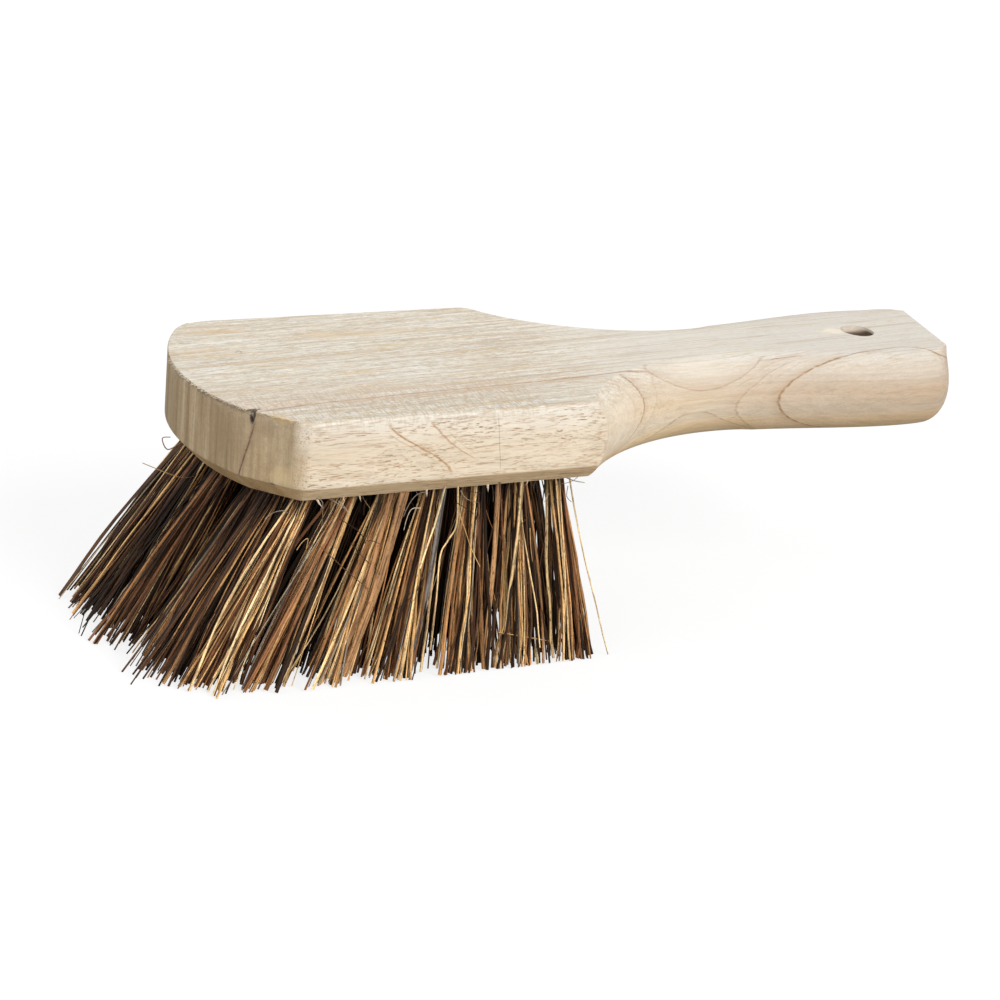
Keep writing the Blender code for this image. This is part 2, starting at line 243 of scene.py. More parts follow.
# Growth rings that show as lines. Each is round an axis that runs along the grain: its slope, its y and
# height, how tall its rings are, its radius, where along the brush it shows, its width, its strength, and
# which half shows: the upper (1), the lower (-1) or both (0).
GRIP_RINGS = (
    (0.106, -18.2, -21.0, 1.72, 12.9, 3, 24, 0.13, 0.75, 0),
    (0.100, -18.2, -21.0, 1.72, 11.6, 14, 27, 0.10, 0.22, 0),
    (0.106, -18.2, -21.0, 1.72, 14.3, 0, 18, 0.10, 0.25, 0),
    (0.106, -18.2, -21.0, 1.72, 15.8, -2, 14, 0.10, 0.2, 0),
    (0.093, -16.4, -8.2, 1.15, 7.2, 19, 66, 0.12, 0.45, 1),
    (0.161, -15.5, -12.3, 1.43, 11.6, 20, 60, 0.10, 0.55, -1),
    (0.082, -15.3, -10.2, 1.40, 9.3, 46, 68, 0.09, 0.42, 0),
    (0.082, -15.3, -10.2, 1.40, 8.6, 50, 68, 0.08, 0.25, 0),
    (0.046, -19.7, -11.7, 2.45, 4.8, 59, 96, 0.12, 0.95, 0),
    (0.050, -17.0, -10.6, 1.70, 6.6, 58, 100, 0.08, 0.15, 0),
    (0.088, -17.6, -12.1, 0.78, 22.4, -6, 4, 0.08, 0.40, 0),
)
RING_WOBBLE, RING_FADE = 0.07, 4

# Lines. Each curve is a polynomial, highest power first. Then come start, end, width, strength and tone.
# On the near side x depends on the height, and the last number is how far the line strays.
SIDE_LINES = (
    ((0.0101, 0.2527, 0.354, -60.56), -17.3, 0, 0.6, 0.9, FLAME_BROWN, 18),
    ((0.0101, 0.2527, 0.354, -62.6), -13, -3, 0.5, 0.4, FLAME_BROWN, 18),
    ((-0.0029, -0.0169, -0.939, -51.22), -14, 0, 0.5, 0.65, FLAME_BROWN, 18),
    ((-0.0029, -0.0169, -0.939, -48.9), -12, -4, 0.3, 0.3, RING_BROWN, 6),
    ((-0.138, -31.6), -17.6, 0, 0.16, 0.55, (0.22, 0.14, 0.08), 6),
)
# On the top y depends on x: a long line from the split to the grip, and fainter ones beside it
TOP_LINES = (
    ((1.35e-05, 0.00136, 0.1092, -21.17), -92, 24, 0.5, 0.75, (0.36, 0.17, 0.09)),
    ((1.35e-05, 0.00136, 0.1092, -22.67), -70, 10, 0.9, 0.3, (0.46, 0.30, 0.19)),
    ((1.35e-05, 0.00136, 0.1092, -16.67), -88, 0, 0.5, 0.4, (0.48, 0.33, 0.19)),
)
# The loop on the grip, over the top face (y from x past its middle) and down the end corner (height from x)
LOOP_MIDDLE_X = 100
LOOP_TOP_LINE = ((-6.52e-05, -0.00141, -0.00809, 0.12, -15.1), -17, 16, 0.3, 0.8, RING_BROWN)
LOOP_END_LINE = ((-0.024, 5.094, -270.05), 109, 126, 0.3, 0.8, RING_BROWN)
# The split, y from the height: a soft line and the dark one in it
SPLIT_LINES = (
    ((0.002513, -0.1547, -30.14), -19.5, -1, 0.8, 0.45, (0.28, 0.16, 0.10)),
    ((0.002513, -0.1547, -30.14), -19.5, -1, 0.24, 0.8, (0.11, 0.06, 0.04)),
)

# Stains, and one painted highlight: middle, reach along x, y and z, strength, tone, how ragged, and the
# share of the reach that is at full strength
STAINS_AND_HIGHLIGHT = (
    ((-19, -6, 0), (7, 8, 2), 0.35, (0.60, 0.50, 0.38), 0.1, 0.25),
    ((-45, 22, 0), (30, 3, 3), 0.45, (0.62, 0.46, 0.27), 0.35, 0.25),
    ((-80, 30, 0), (12, 2.6, 3), 0.5, (0.58, 0.40, 0.22), 0.35, 0.25),
    ((-38, 12, 0), (12, 1.6, 3), 0.45, (0.58, 0.48, 0.25), 0.35, 0.25),
    ((-89.5, -33, -3.5), (4, 4, 3.5), 0.5, (0.28, 0.20, 0.12), 0.35, 0.25),
    ((-95, -20, -9), (4, 7, 11), 0.6, (0.32, 0.225, 0.125), 0.15, 0),
    ((-93.2, -26.5, -10), (2.5, 3, 9), 0.35, (0.30, 0.20, 0.13), 0.2, 0),
    ((-85.5, -36, -15), (6, 5, 5), 0.5, (0.64, 0.48, 0.26), 0.3, 0),
    ((-87, -35.5, -0.5), (4, 4, 1.3), 0.7, (0.62, 0.44, 0.22), 0.2, 0.25),
    ((-90.5, -31, -5), (3, 2.6, 5), 0.45, (0.34, 0.24, 0.15), 0.3, 0),
    ((-87.5, -34, -17.2), (1.4, 1.4, 0.6), 0.7, (0.12, 0.10, 0.06), 0.25, 0.25),
    ((-79.4, 13.2, 0), (1.3, 1.2, 1), 0.9, (0.30, 0.22, 0.14), 0.1, 0.25),
    ((-79.5, 13.1, 0.2), (0.8, 0.7, 1), 0.9, (0.74, 0.68, 0.60), 0.1, 0.25),
    # A painted highlight: the pale, smooth patch on the neck's upper rounding
    ((40, -15.5, -2), (16, 4, 3), 0.5, (0.70, 0.64, 0.545), 0.25, 0),
    ((10, -33, -10), (9, 12, 12), 0.35, (0.78, 0.69, 0.575), 0.25, 0),
    ((92.2, 1.6, 0), (5.5, 3.6, 2), 0.65, (0.86, 0.76, 0.60), 0.2, 0.25),
)
# Painted shade inside the notch at the top of the split, and along the top edge beside it, given as the
# stains are
NOTCH_SHADE = (
    ((-91.3, -29.0, -0.9), (1.3, 0.8, 2.7), 0.95, (0.045, 0.027, 0.015), 0.25, 0.7),
    ((-91, -28.2, 0.1), (2.6, 0.8, 0.9), 0.9, (0.12, 0.07, 0.035), 0.15, 0.5),
)


class Wood(Nodes):
    """Pale, fine-grained wood. It keeps the colour so far, and each step paints over it."""

    def __init__(self, name):
        super().__init__(name)
        place = self.node("ShaderNodeTexCoord").outputs["Object"]
        self.local = self.scaled(place, (1 / MM,) * 3, (-SHOULDER_X / MM, 0, -TOP_Z / MM))
        self.x, self.y, self.z = self.split(self.local)
        facing = self.node("ShaderNodeNewGeometry").outputs["True Normal"]
        self.facing_x, self.facing_y, self.facing_z = self.split(facing)
        wobble = self.off_middle(self.noise(self.local, (0.25, 0.6, 0.6), (0, 0, 0), 4, 0.6))
        self.wobble = self.times(wobble, RING_WOBBLE * 2)
        # The grain runs a little aslant and wanders.
        wander = self.times(self.off_middle(self.noise(self.local, (0.02, 0.09, 0.09))), 3)
        aslant = self.minus(self.y, self.times(self.x, GRAIN_SLOPE))
        grain = self.node("ShaderNodeCombineXYZ", (self.x, self.plus(aslant, wander), self.z))
        self.grain = grain.outputs[0]
        # What breaks up the lines and frays the stains
        self.broken = self.noise(self.local, (0.4, 0.9, 0.9), (5, 1, 9))
        self.ragged = self.off_middle(self.noise(self.local, (0.25, 0.5, 0.5), (0, 0, 0), 3))
        # How far each place belongs to the top, the front end, its flat corner and the near side
        # The top reaches into the upper 4 mm of each side at half strength: its grey tone blends in there,
        # in part as a painted highlight along the edge.
        low_edge = self.ramp(self.z, -4, -0.3)
        self.top = self.math("MAXIMUM", self.ramp(self.facing_z, 0.3, 1), self.times(low_edge, 0.5))
        self.at_front = self.ramp(self.x, -74, -84)
        self.front = self.times(self.ramp(self.facing_x, -0.70, -0.88), self.at_front)
        self.flat = self.times(self.ramp(self.facing_x, -0.03, -0.62), self.at_front)
        self.near = self.ramp(self.facing_y, -0.6, -0.9)
        # The head's top is coarser than the grip's.
        self.coarse = self.times(self.top, self.ramp(self.x, 30, -10, 0.4, 1))
        self.fine = self.noise(self.grain, (0.11, 3, 3), (0, 7, 0), 3, 0.7)
        self.hair = self.noise(self.grain, (0.35, 9, 9), (0, 1, 0), 2, 0.6)
        self.upright = self.noise(self.local, (0.8, 2.2, 0.1), (2, 2, 2), 3, 0.65)
        self.colour = None

    def over(self, tone, *shares):
        """Paints a tone over the colour, with the product of the shares."""
        self.colour = self.mix(self.times(*shares), self.colour, tone)

    def tint(self, tone, *shares):
        self.over(self.tinted(self.colour, tone), *shares)

    def shade(self, value):
        self.colour = self.shaded(self.colour, value)

    def darken(self, *shares):
        self.shade(self.minus(1, self.times(*shares)))


def paint_faces(w):
    """The wood's own face decides its tone: the top is greyest, the front end and its flat corner brown."""

    def tones(value, three, low=0.3, high=0.7):
        return w.colours(value, list(zip((low, 0.5, high), three)))

    broad = w.noise(w.grain, (0.012, 0.13, 0.13), (0, 0, 0), 3, 0.6)
    planks = w.noise(w.grain, (0.016, 0.45, 0.45), (7, 3, 1), 4, 0.7)
    bands = w.noise(w.local, (0.12, 0.3, 0.012), (0, 0, 0), 3, 0.65)
    w.colour = w.mix(w.top, tones(broad, WOOD_CREAM, 0.2, 0.8), tones(planks, WOOD_TOP))
    w.over(tones(bands, WOOD_FLAT), w.flat)
    w.over((0.66, 0.54, 0.38), w.flat, w.ramp(w.y, -31, -41, 0, 0.5))
    w.over(tones(bands, WOOD_FRONT), w.front)


def paint_streaks(w):
    """Streaks, bands and fine lines along the grain, or up and down on the front end"""

    def on_top(value, low, high):
        return w.plus(1, w.times(w.coarse, w.ramp(value, 0.3, 0.7, low - 1, high - 1)))

    streak = w.noise(w.grain, (0.03, 0.7, 0.7), (0, 3, 0), 3, 0.65)
    w.shade(w.ramp(streak, 0.3, 0.7, 0.89, 1.05))
    w.shade(w.ramp(w.fine, 0.3, 0.7, 0.90, 1.05))
    w.shade(w.ramp(w.hair, 0.35, 0.65, 0.94, 1.03))
    w.shade(on_top(w.noise(w.grain, (0.04, 1.1, 1.1), (5, 5, 5), 3, 0.75), 0.86, 1.08))
    w.shade(on_top(w.noise(w.grain, (0.16, 2.2, 2.2), (8, 5, 2), 3, 0.8), 0.76, 1.14))
    bars = w.colours(w.upright, [(0.3, (0.80, 0.78, 0.75)), (0.5, (1, 1, 1)), (0.7, (1.08, 1.08, 1.07))])
    w.shade(w.mix(w.math("MAXIMUM", w.front, w.times(w.flat, 0.9)), (1, 1, 1), bars))


def paint_tints(w):
    # The grip is a shade darker than the head. What faces down is tinted warmer, a painted shade.
    w.over((0.79, 0.75, 0.68), w.top, w.ramp(w.x, -10, 30, 0, 0.6))
    w.over((0.70, 0.66, 0.60), w.top, w.ramp(w.x, 40, 80, 0, 0.5))
    w.tint((0.77, 0.745, 0.75), w.ramp(w.x, 18, 74), w.minus(1, w.top))
    warm_shade = w.mix(w.ramp(w.x, 0, 30), (1.05, 0.94, 0.76), (1.19, 1.06, 0.84))
    w.tint(warm_shade, w.ramp(w.facing_z, -0.15, -0.6))
    # The near side is whitest along its upper part, a painted highlight. The grip's top and rounding are
    # darker, a painted shade where they face up.
    w.over((0.84, 0.79, 0.70), w.near, w.ramp(w.z, -11, -1.5, 0, 0.5), w.ramp(w.x, 0, -8))
    w.darken(w.ramp(w.x, -5, 35, 0, 0.11), w.ramp(w.facing_z, 0.1, 0.6))
    w.tint((0.945, 0.895, 0.85), w.ramp(w.facing_z, -0.3, 0.35), w.ramp(w.facing_z, 1, 0.8),
           w.ramp(w.x, -2, 20))
    # The front end's far half is darker too, and the near side's rim has a painted shade.
    w.darken(w.ramp(w.y, -6, 8, 0, 0.12), w.at_front, w.minus(1, w.top))
    w.darken(w.ramp(w.facing_y, -0.15, -0.5), w.ramp(w.z, -2, -0.6, 0, 0.07), w.ramp(w.x, 0, -4))


def paint_dashes(w):
    """Tan streaks, long lines and dashes on the top"""
    tan = w.noise(w.grain, (0.03, 0.5, 0.5), (3, 14, 5), 3, 0.7)
    dash = w.noise(w.grain, (0.16, 2.2, 2.2), (11, 2, 0), 3, 0.65)
    chip = w.noise(w.grain, (0.45, 1.9, 1.9), (1, 8, 0), 3, 0.7)
    line = w.veins(w.noise(w.grain, (0.006, 0.42, 0.42), (2, 9, 3)), 0.03, 0.004, 0.38)
    w.over((0.64, 0.51, 0.33), w.ramp(tan, 0.50, 0.66, 0, 0.75), w.top, w.ramp(w.x, 20, -20, 0.35, 1))
    w.over((0.42, 0.29, 0.17), line, w.top)
    w.over((0.42, 0.31, 0.19), w.ramp(dash, 0.55, 0.65, 0, 0.8), w.coarse)
    w.over((0.46, 0.35, 0.23), w.ramp(chip, 0.56, 0.65, 0, 0.65), w.coarse)
    w.over((0.92, 0.90, 0.85), w.ramp(chip, 0.43, 0.34, 0, 0.5), w.coarse)


def paint_pores(w):
    """Brown pores and fine veins on the sides. Returns the pores, which are also sunk in."""
    end = w.ramp(w.math("ABSOLUTE", w.facing_x), 0.62, 0.9)
    smooth = w.math("MAXIMUM", w.times(end, 0.85), w.ramp(w.facing_x, 0.25, 0.6, 0, 0.9))
    plain = w.minus(1, w.math("MAXIMUM", smooth, w.times(w.top, 0.75)))
    pore = w.noise(w.grain, (0.036, 3.5, 3.5), (21, 2, 8), 4, 0.55)
    crowd = w.ramp(w.noise(w.local, (0.045, 0.2, 0.2), (4, 4, 4)), 0.35, 0.62, 0.3, 1)
    pores = w.times(w.ramp(pore, 0.58, 0.63), crowd, w.ramp(w.x, 0, 40, 1, 0.3), plain)
    w.over(PORE_BROWN, pores, 0.85)
    vein = w.noise(w.grain, (0.018, 0.5, 0.5), (6, 1, 3), 3, 0.6)
    w.over((0.42, 0.24, 0.12), w.veins(vein, 0.024, 0.004, 0.62), plain, w.ramp(w.hair, 0.35, 0.55),
           w.ramp(w.x, 0, 30, 1, 0.25))
    return pores


def paint_ring(w, broken, slope, middle_y, middle_z, height, radius, start, end, width, strength, half):
    across = w.minus(w.minus(w.y, w.times(w.x, slope)), middle_y)
    down = w.math("DIVIDE", w.minus(w.z, middle_z), height)
    squares = w.plus(w.times(across, across), w.times(down, down))
    off = w.minus(w.plus(w.math("SQRT", squares), w.wobble), radius)
    line = w.times(w.ramp(w.math("ABSOLUTE", off), width, width * 0.2, 0, strength), broken)
    # Inside a ring the wood darkens towards it.
    band = w.times(w.ramp(off, -0.7, -0.02, 0, strength * 0.25), w.math("LESS_THAN", off, 0))
    shares = [w.math("MAXIMUM", line, band), w.ramp(w.facing_z, 0.985, 0.93),
              w.ramp(w.x, start - RING_FADE / 2, start + RING_FADE / 2),
              w.ramp(w.x, end + RING_FADE / 2, end - RING_FADE / 2)]
    if half:
        shares.append(w.ramp(w.times(down, half), -0.4, 0.4))
    w.over(RING_BROWN, *shares)


def paint_line(w, mask, across, along, curve, start, end, width, strength, tone, stray=6):
    """A thin line where one of the coordinates is a polynomial of another, from start to end"""
    value = curve[0]
    for factor in curve[1:]:
        value = w.plus(w.times(value, along), factor)
    off = w.plus(w.minus(across, value), w.times(w.wobble, stray * width))
    broken = w.ramp(w.broken, 0.3, 0.6, strength * 0.55, strength)
    fade = min(4, (end - start) / 4)
    w.over(tone, w.ramp(w.math("ABSOLUTE", off), width, width * 0.25), broken,
           w.ramp(along, start, start + fade), w.ramp(along, end, end - fade), mask)


def paint_patch(w, middle, reach, strength, tone, rough, core):
    place = w.scaled(w.local, tuple(1 / r for r in reach))
    middle = tuple(m / r for m, r in zip(middle, reach))
    offset = w.node("ShaderNodeVectorMath", (place, middle), operation="DISTANCE").outputs["Value"]
    w.over(tone, w.ramp(w.plus(offset, w.times(w.ragged, rough * 4)), 1, core, 0, strength))


def paint_lines(w):
    """The rings on the grip, the flames on the near side and the long lines on the top"""
    broken = w.ramp(w.noise(w.grain, (0.5, 1.5, 1.5), (9, 9, 9)), 0.3, 0.6, 0.45, 1)
    for ring in GRIP_RINGS:
        paint_ring(w, broken, *ring)
    on_side = w.times(w.near, w.ramp(w.z, -0.2, -0.8))
    for line in SIDE_LINES:
        paint_line(w, on_side, w.x, w.z, *line)
    paint_line(w, w.ramp(w.facing_z, 0.5, 0.85), w.y, w.minus(w.x, LOOP_MIDDLE_X), *LOOP_TOP_LINE)
    at_corner = w.times(w.ramp(w.facing_y, -0.02, -0.2), w.ramp(w.facing_z, 0.985, 0.93))
    paint_line(w, at_corner, w.z, w.x, *LOOP_END_LINE)
    for line in TOP_LINES:
        paint_line(w, w.top, w.y, w.x, *line)


def paint_saw_marks(w):
    """Marks of the saw across the top's near half, up to where it was sanded. Returns them as well."""
    saw = w.noise(w.scaled(w.local, (2.1, 0.26, 0.4), turn=math.radians(-14)), (1, 1, 1))
    rough = w.times(w.top, w.ramp(w.y, -11, -24), w.ramp(w.x, -16.5, -18, 0.25, 1))
    marks = w.times(w.ramp(saw, 0.48, 0.60, 0, 0.6), rough)
    w.over((0.47, 0.37, 0.26), marks)
    w.over((0.62, 0.47, 0.35), rough, w.ramp(w.y, -31, -25, 0, 0.2))
    return marks


def paint_stains_shade_and_highlight(w):
    for patch in STAINS_AND_HIGHLIGHT:
        paint_patch(w, *patch)
    # The front end is darker along its top edge, under the burr.
    dark_edge_band = w.ramp(w.plus(w.z, w.times(w.wobble, 14)), -1.3, -0.3)
    w.over((0.16, 0.11, 0.065), dark_edge_band, w.front, w.ramp(w.y, 24, 0, 0.15, 0.65))
    # The split in the front corner is dark down to the chamfer.
    at_split = w.times(w.ramp(w.x, -86, -89), w.ramp(w.facing_z, 0.7, 0.4))
    for line in SPLIT_LINES:
        paint_line(w, at_split, w.y, w.z, *line)
    # Painted shade in the notch
    for patch in NOTCH_SHADE:
        paint_patch(w, *patch)


def paint_hanging_hole(w):
    """Its inside is dark, a painted shade, but for its worn left wall, which takes a paler tan as painted
    light.
    """
    hole_x = w.minus(w.x, (HANDLE_LENGTH - HANGING_HOLE_INSET) / MM)
    from_axis = w.math("SQRT", w.plus(w.times(hole_x, hole_x), w.times(w.y, w.y)))
    radius = HANGING_HOLE_DIAMETER / 2 / MM
    tone = w.mix(w.ramp(hole_x, -3.9, -1.6), (0.34, 0.275, 0.17), (0.10, 0.065, 0.04))
    w.over(tone, w.ramp(from_axis, radius + 0.5, radius + 0.1), w.ramp(w.z, -0.3, -1.1), 0.95)


def wood_material(name):
    w = Wood(name)
    paint_faces(w)
    paint_streaks(w)
    paint_tints(w)
    paint_dashes(w)
    pores = paint_pores(w)
    paint_lines(w)
    marks = paint_saw_marks(w)
    paint_stains_shade_and_highlight(w)
    paint_hanging_hole(w)
    raised = w.plus(w.times(w.fine, 0.5), w.times(w.hair, 0.35))
    sunk = w.plus(w.times(pores, 0.8), w.times(marks, 1.5))
    normal = w.bumps(w.plus(w.minus(raised, sunk), w.times(w.upright, w.front, 0.8)), 0.55, 0.12 * MM)
    return w.finish(Base_Color=w.colour, Roughness=w.ramp(w.fine, 0.3, 0.7, 0.66, 0.82),
                    Specular_IOR_Level=0.25, Normal=normal)


def fibre_material(name, stops, gloss=0.42):
    """Each fibre has one tone of its own, with mottling, dark flecks and fine lines along it, the pale lines
    being painted highlights.

    It is darker towards its root, a painted shade under the wood, where the tufts stand close.
    """
    n = Nodes(name)
    strand = n.node("ShaderNodeAttribute", attribute_name="strand").outputs["Vector"]
    colour = n.colours(n.node("ShaderNodeAttribute", attribute_name="tone").outputs["Fac"], stops)
    mottle = n.noise(strand, (0.8, 0.8, 0.14), (0, 0, 0), 3, 0.75)
    lines = n.noise(strand, (2.6, 2.6, 0.05), (1, 1, 1), 2, 0.6)
    flecks = n.noise(strand, (2.8, 2.8, 1.1), (3, 1, 2), 2, 0.7)
    colour = n.mix(n.ramp(mottle, 0.42, 0.72, 0, 0.55), colour, (0.05, 0.022, 0.010))
    # Painted highlights: pale lines along the fibre
    colour = n.mix(n.ramp(lines, 0.48, 0.62), colour, n.tinted(colour, (1.5, 1.48, 1.4)))
    colour = n.mix(n.ramp(lines, 0.47, 0.34, 0, 0.75), colour, (0.03, 0.014, 0.007))
    colour = n.mix(n.ramp(flecks, 0.56, 0.68, 0, 0.7), colour, (0.016, 0.008, 0.005))
    # Painted shade: darker towards the root, under the wood
    colour = n.shaded(colour, n.ramp(n.split(strand)[2], 8, 16, 0.65, 1))
    roughness = n.ramp(mottle, 0.3, 0.7, gloss - 0.1, gloss + 0.15)
    normal = n.bumps(n.minus(lines, n.times(flecks, 0.6)), 0.7, 0.1 * MM)
    return n.finish(Base_Color=colour, Roughness=roughness, Specular_IOR_Level=0.22, Normal=normal)


def steel_material():
    n = Nodes("wire_steel")
    drawn = n.noise(n.node("ShaderNodeTexCoord").outputs["Object"], (3000, 3000, 300))
    colour = n.colours(drawn, [(0.3, (0.42, 0.42, 0.41)), (0.7, (0.66, 0.66, 0.64))])
    return n.finish(Base_Color=colour, Roughness=n.ramp(drawn, 0.3, 0.7, 0.25, 0.45), Metallic=1)


def stops_by_share(*shares):
    """Colour stops, each as far from the next as its share."""
    total, place, found = sum(share for share, _ in shares), 0, []
    for share, tone in shares:
        found.append((place / total, tone))
        place += share
    return found


BLACK, DARK, BROWN = (0.008, 0.006, 0.004), (0.030, 0.016, 0.009), (0.12, 0.054, 0.026)
RUSSET, TAN, GOLD = (0.31, 0.130, 0.052), (0.55, 0.285, 0.11), (0.86, 0.52, 0.21)
STRAW, GREY = (0.95, 0.74, 0.42), (0.20, 0.178, 0.160)
TONES = (BLACK, DARK, BROWN, RUSSET, TAN, GOLD, STRAW, GREY)
NEAR_STOPS = stops_by_share(*zip((18, 14, 11, 11, 15, 19, 8, 4), TONES))
# Darker copies of the near colours for the tufts at the ends and in the inner rows: painted shade
SHADED_FRONT_STOPS = stops_by_share(*zip((32, 20, 13, 11, 8, 10, 4, 2), TONES))
SHADED_INNER_STOPS = stops_by_share((62, BLACK), (32, DARK), (6, BROWN))
PALE_STOPS = stops_by_share((6, (0.46, 0.37, 0.26)), (3, (0.70, 0.61, 0.47)), (4, (0.30, 0.24, 0.18)))
STRAP_STOPS = stops_by_share((1, (0.52, 0.30, 0.13)), (1, (0.40, 0.20, 0.09)))

wood = wood_material("wood_pale")
fibres = {
    "near": fibre_material("fibre_near", NEAR_STOPS),
    "front": fibre_material("fibre_front_shaded", SHADED_FRONT_STOPS),
    "inner": fibre_material("fibre_inner_shaded", SHADED_INNER_STOPS),
    "pale": fibre_material("fibre_pale", PALE_STOPS),
    "gold": fibre_material("fibre_gold", stops_by_share((2, GOLD), (1, STRAW))),
    "strap": fibre_material("fibre_strap", STRAP_STOPS, 0.55),
    "grey": fibre_material("fibre_grey", stops_by_share((2, GREY), (1, (0.22, 0.20, 0.185)))),
}
steel = steel_material()


# The back

NECK_DEPTH = (HEAD_WIDTH - NECK_WIDTH) / 2
NECK_RADIUS = (NECK_DISTANCE**2 + NECK_DEPTH**2) / (2 * NECK_DEPTH)
NECK_CENTRE_Y = NECK_WIDTH / 2 + NECK_RADIUS
FRONT_CENTRE_X = FRONT_RADIUS - HEAD_LENGTH
BOW_CENTRE_X, BOW_CENTRE_Y = HANDLE_LENGTH - BOW_DISTANCE, HANDLE_WIDTH / 2 - BOW_RADIUS
END_CENTRE_X = HANDLE_LENGTH - END_CORNER_RADIUS
END_REACH = END_CENTRE_X - BOW_CENTRE_X
END_CENTRE_Y = BOW_CENTRE_Y + math.sqrt((BOW_RADIUS - END_CORNER_RADIUS) ** 2 - END_REACH**2)
END_ANGLE = math.asin(END_REACH / (BOW_RADIUS - END_CORNER_RADIUS))

# How many steps each part of the outline has
FRONT_STEPS, FLAT_STEPS, WORN_STEPS, CORNER_STEPS, SIDE_STEPS = 40, 12, 10, 22, 50
NECK_STEPS, GRIP_STEPS, BOW_STEPS, END_CORNER_STEPS, END_STEPS = 40, 24, 8, 20, 8
# The far shoulder corner is softened over this many points on each side of it, in this many rounds.
SOFT_REACH, SOFT_ROUNDS = 5, 6


def rounding_at(depth, top, bottom, fullness):
    height = 1 - 2 * depth / BACK_THICKNESS
    full = 1 - math.sqrt(1 - fullness**2)
    share = (1 - math.sqrt(max(0, 1 - (fullness * height) ** 2))) / full
    return share * (top if height > 0 else bottom)


def grip_roundings(x):
    share = clipped(x / NECK_ROUNDING_LENGTH)
    further = max(0, (x - NECK_ROUNDING_LENGTH) / (HANDLE_LENGTH - NECK_ROUNDING_LENGTH))
    top = between(SHOULDER_TOP_ROUNDING, HANDLE_ROUNDING, math.sqrt(share))
    neck = between(SHOULDER_BOTTOM_ROUNDING, NECK_BOTTOM_ROUNDING, share)
    return top, between(neck, HANDLE_ROUNDING, further), between(SHOULDER_FULLNESS, 1, share)


def end_on_circle(from_centre, along, radius, sign):
    """Where a line meets the front end's arc."""
    way = from_centre.dot(along)
    step = -way + sign * math.sqrt(way**2 - from_centre.length_squared + radius**2)
    return Vector((FRONT_CENTRE_X, 0)) + from_centre + along * step


def arc(centre, radius, start, end, steps):
    """Points of an arc but for its last, with angles turning from the front end's way to the side's."""
    angles = [between(start, end, i / steps) for i in range(steps)]
    return [centre + radius * Vector((-math.cos(a), math.sin(a))) for a in angles]


def head_outline(flat, inset):
    """Points along one half of the head, from the front end to its straight side, with outward normals."""
    radius = FRONT_RADIUS - inset
    if flat:
        y = HEAD_WIDTH / 2 - CORNER_FLAT_WIDTH
        end = Vector((FRONT_CENTRE_X - math.sqrt(FRONT_RADIUS**2 - y**2), y))
        along = (Vector((CORNER_FLAT_DEPTH - HEAD_LENGTH, HEAD_WIDTH / 2)) - end).normalized()
        end -= Vector((-along.y, along.x)) * inset
        last = end + along * (HEAD_WIDTH / 2 - inset - end.y) / along.y
        from_centre = end - Vector((FRONT_CENTRE_X, 0))
        end = min((end_on_circle(from_centre, along, radius, sign) for sign in (-1, 1)), key=lambda v: v.x)
        angle = math.atan2(end.y, FRONT_CENTRE_X - end.x)
    else:
        corner_y = HEAD_WIDTH / 2 - CORNER_RADIUS
        reach = math.sqrt((FRONT_RADIUS - CORNER_RADIUS) ** 2 - corner_y**2)
        corner = Vector((FRONT_CENTRE_X - reach, corner_y))
        angle = math.atan2(corner_y, reach)
        last = Vector((corner.x, HEAD_WIDTH / 2 - inset))
    points = arc(Vector((FRONT_CENTRE_X, 0)), radius, 0, angle, FRONT_STEPS)
    if flat:
        # The flat meets the side in a worn, rounded corner.
        turn = math.atan2(along.y, along.x)
        worn = max(0.4 * MM, FLAT_CORNER_RADIUS - inset)
        reach = worn * math.tan(turn / 2)
        start, last = last - along * reach, last + Vector((reach, 0))
        points += [end.lerp(start, i / FLAT_STEPS) for i in range(FLAT_STEPS)]
        points += arc(last - Vector((0, worn)), worn, math.pi / 2 - turn, math.pi / 2, WORN_STEPS)
    else:
        points += arc(corner, CORNER_RADIUS - inset, angle, math.pi / 2, CORNER_STEPS)
    points += [last + Vector((i * 1.4 * MM, 0)) for i in range(9)]
    normals = []
    for k, point in enumerate(points):
        before = points[k - 1] if k else Vector((point.x, -points[1].y))
        after = points[min(k + 1, len(points) - 1)]
        along = (after - before).normalized()
        normals.append(Vector((-along.y, along.x)))
    return list(zip(points, normals))


def chamfer_at(depth):
    """How far the head's chamfer draws the outline in, with its upper edge slightly eased."""
    past = depth - (BACK_THICKNESS - CHAMFER)
    if past < -CHAMFER_EASE:
        return 0
    return past if past > CHAMFER_EASE else (past + CHAMFER_EASE) ** 2 / (4 * CHAMFER_EASE)


def edge_at(depth, radius):
    """How far a rounded top edge draws the outline in."""
    return radius - math.sqrt(radius**2 - max(0, radius - depth) ** 2)


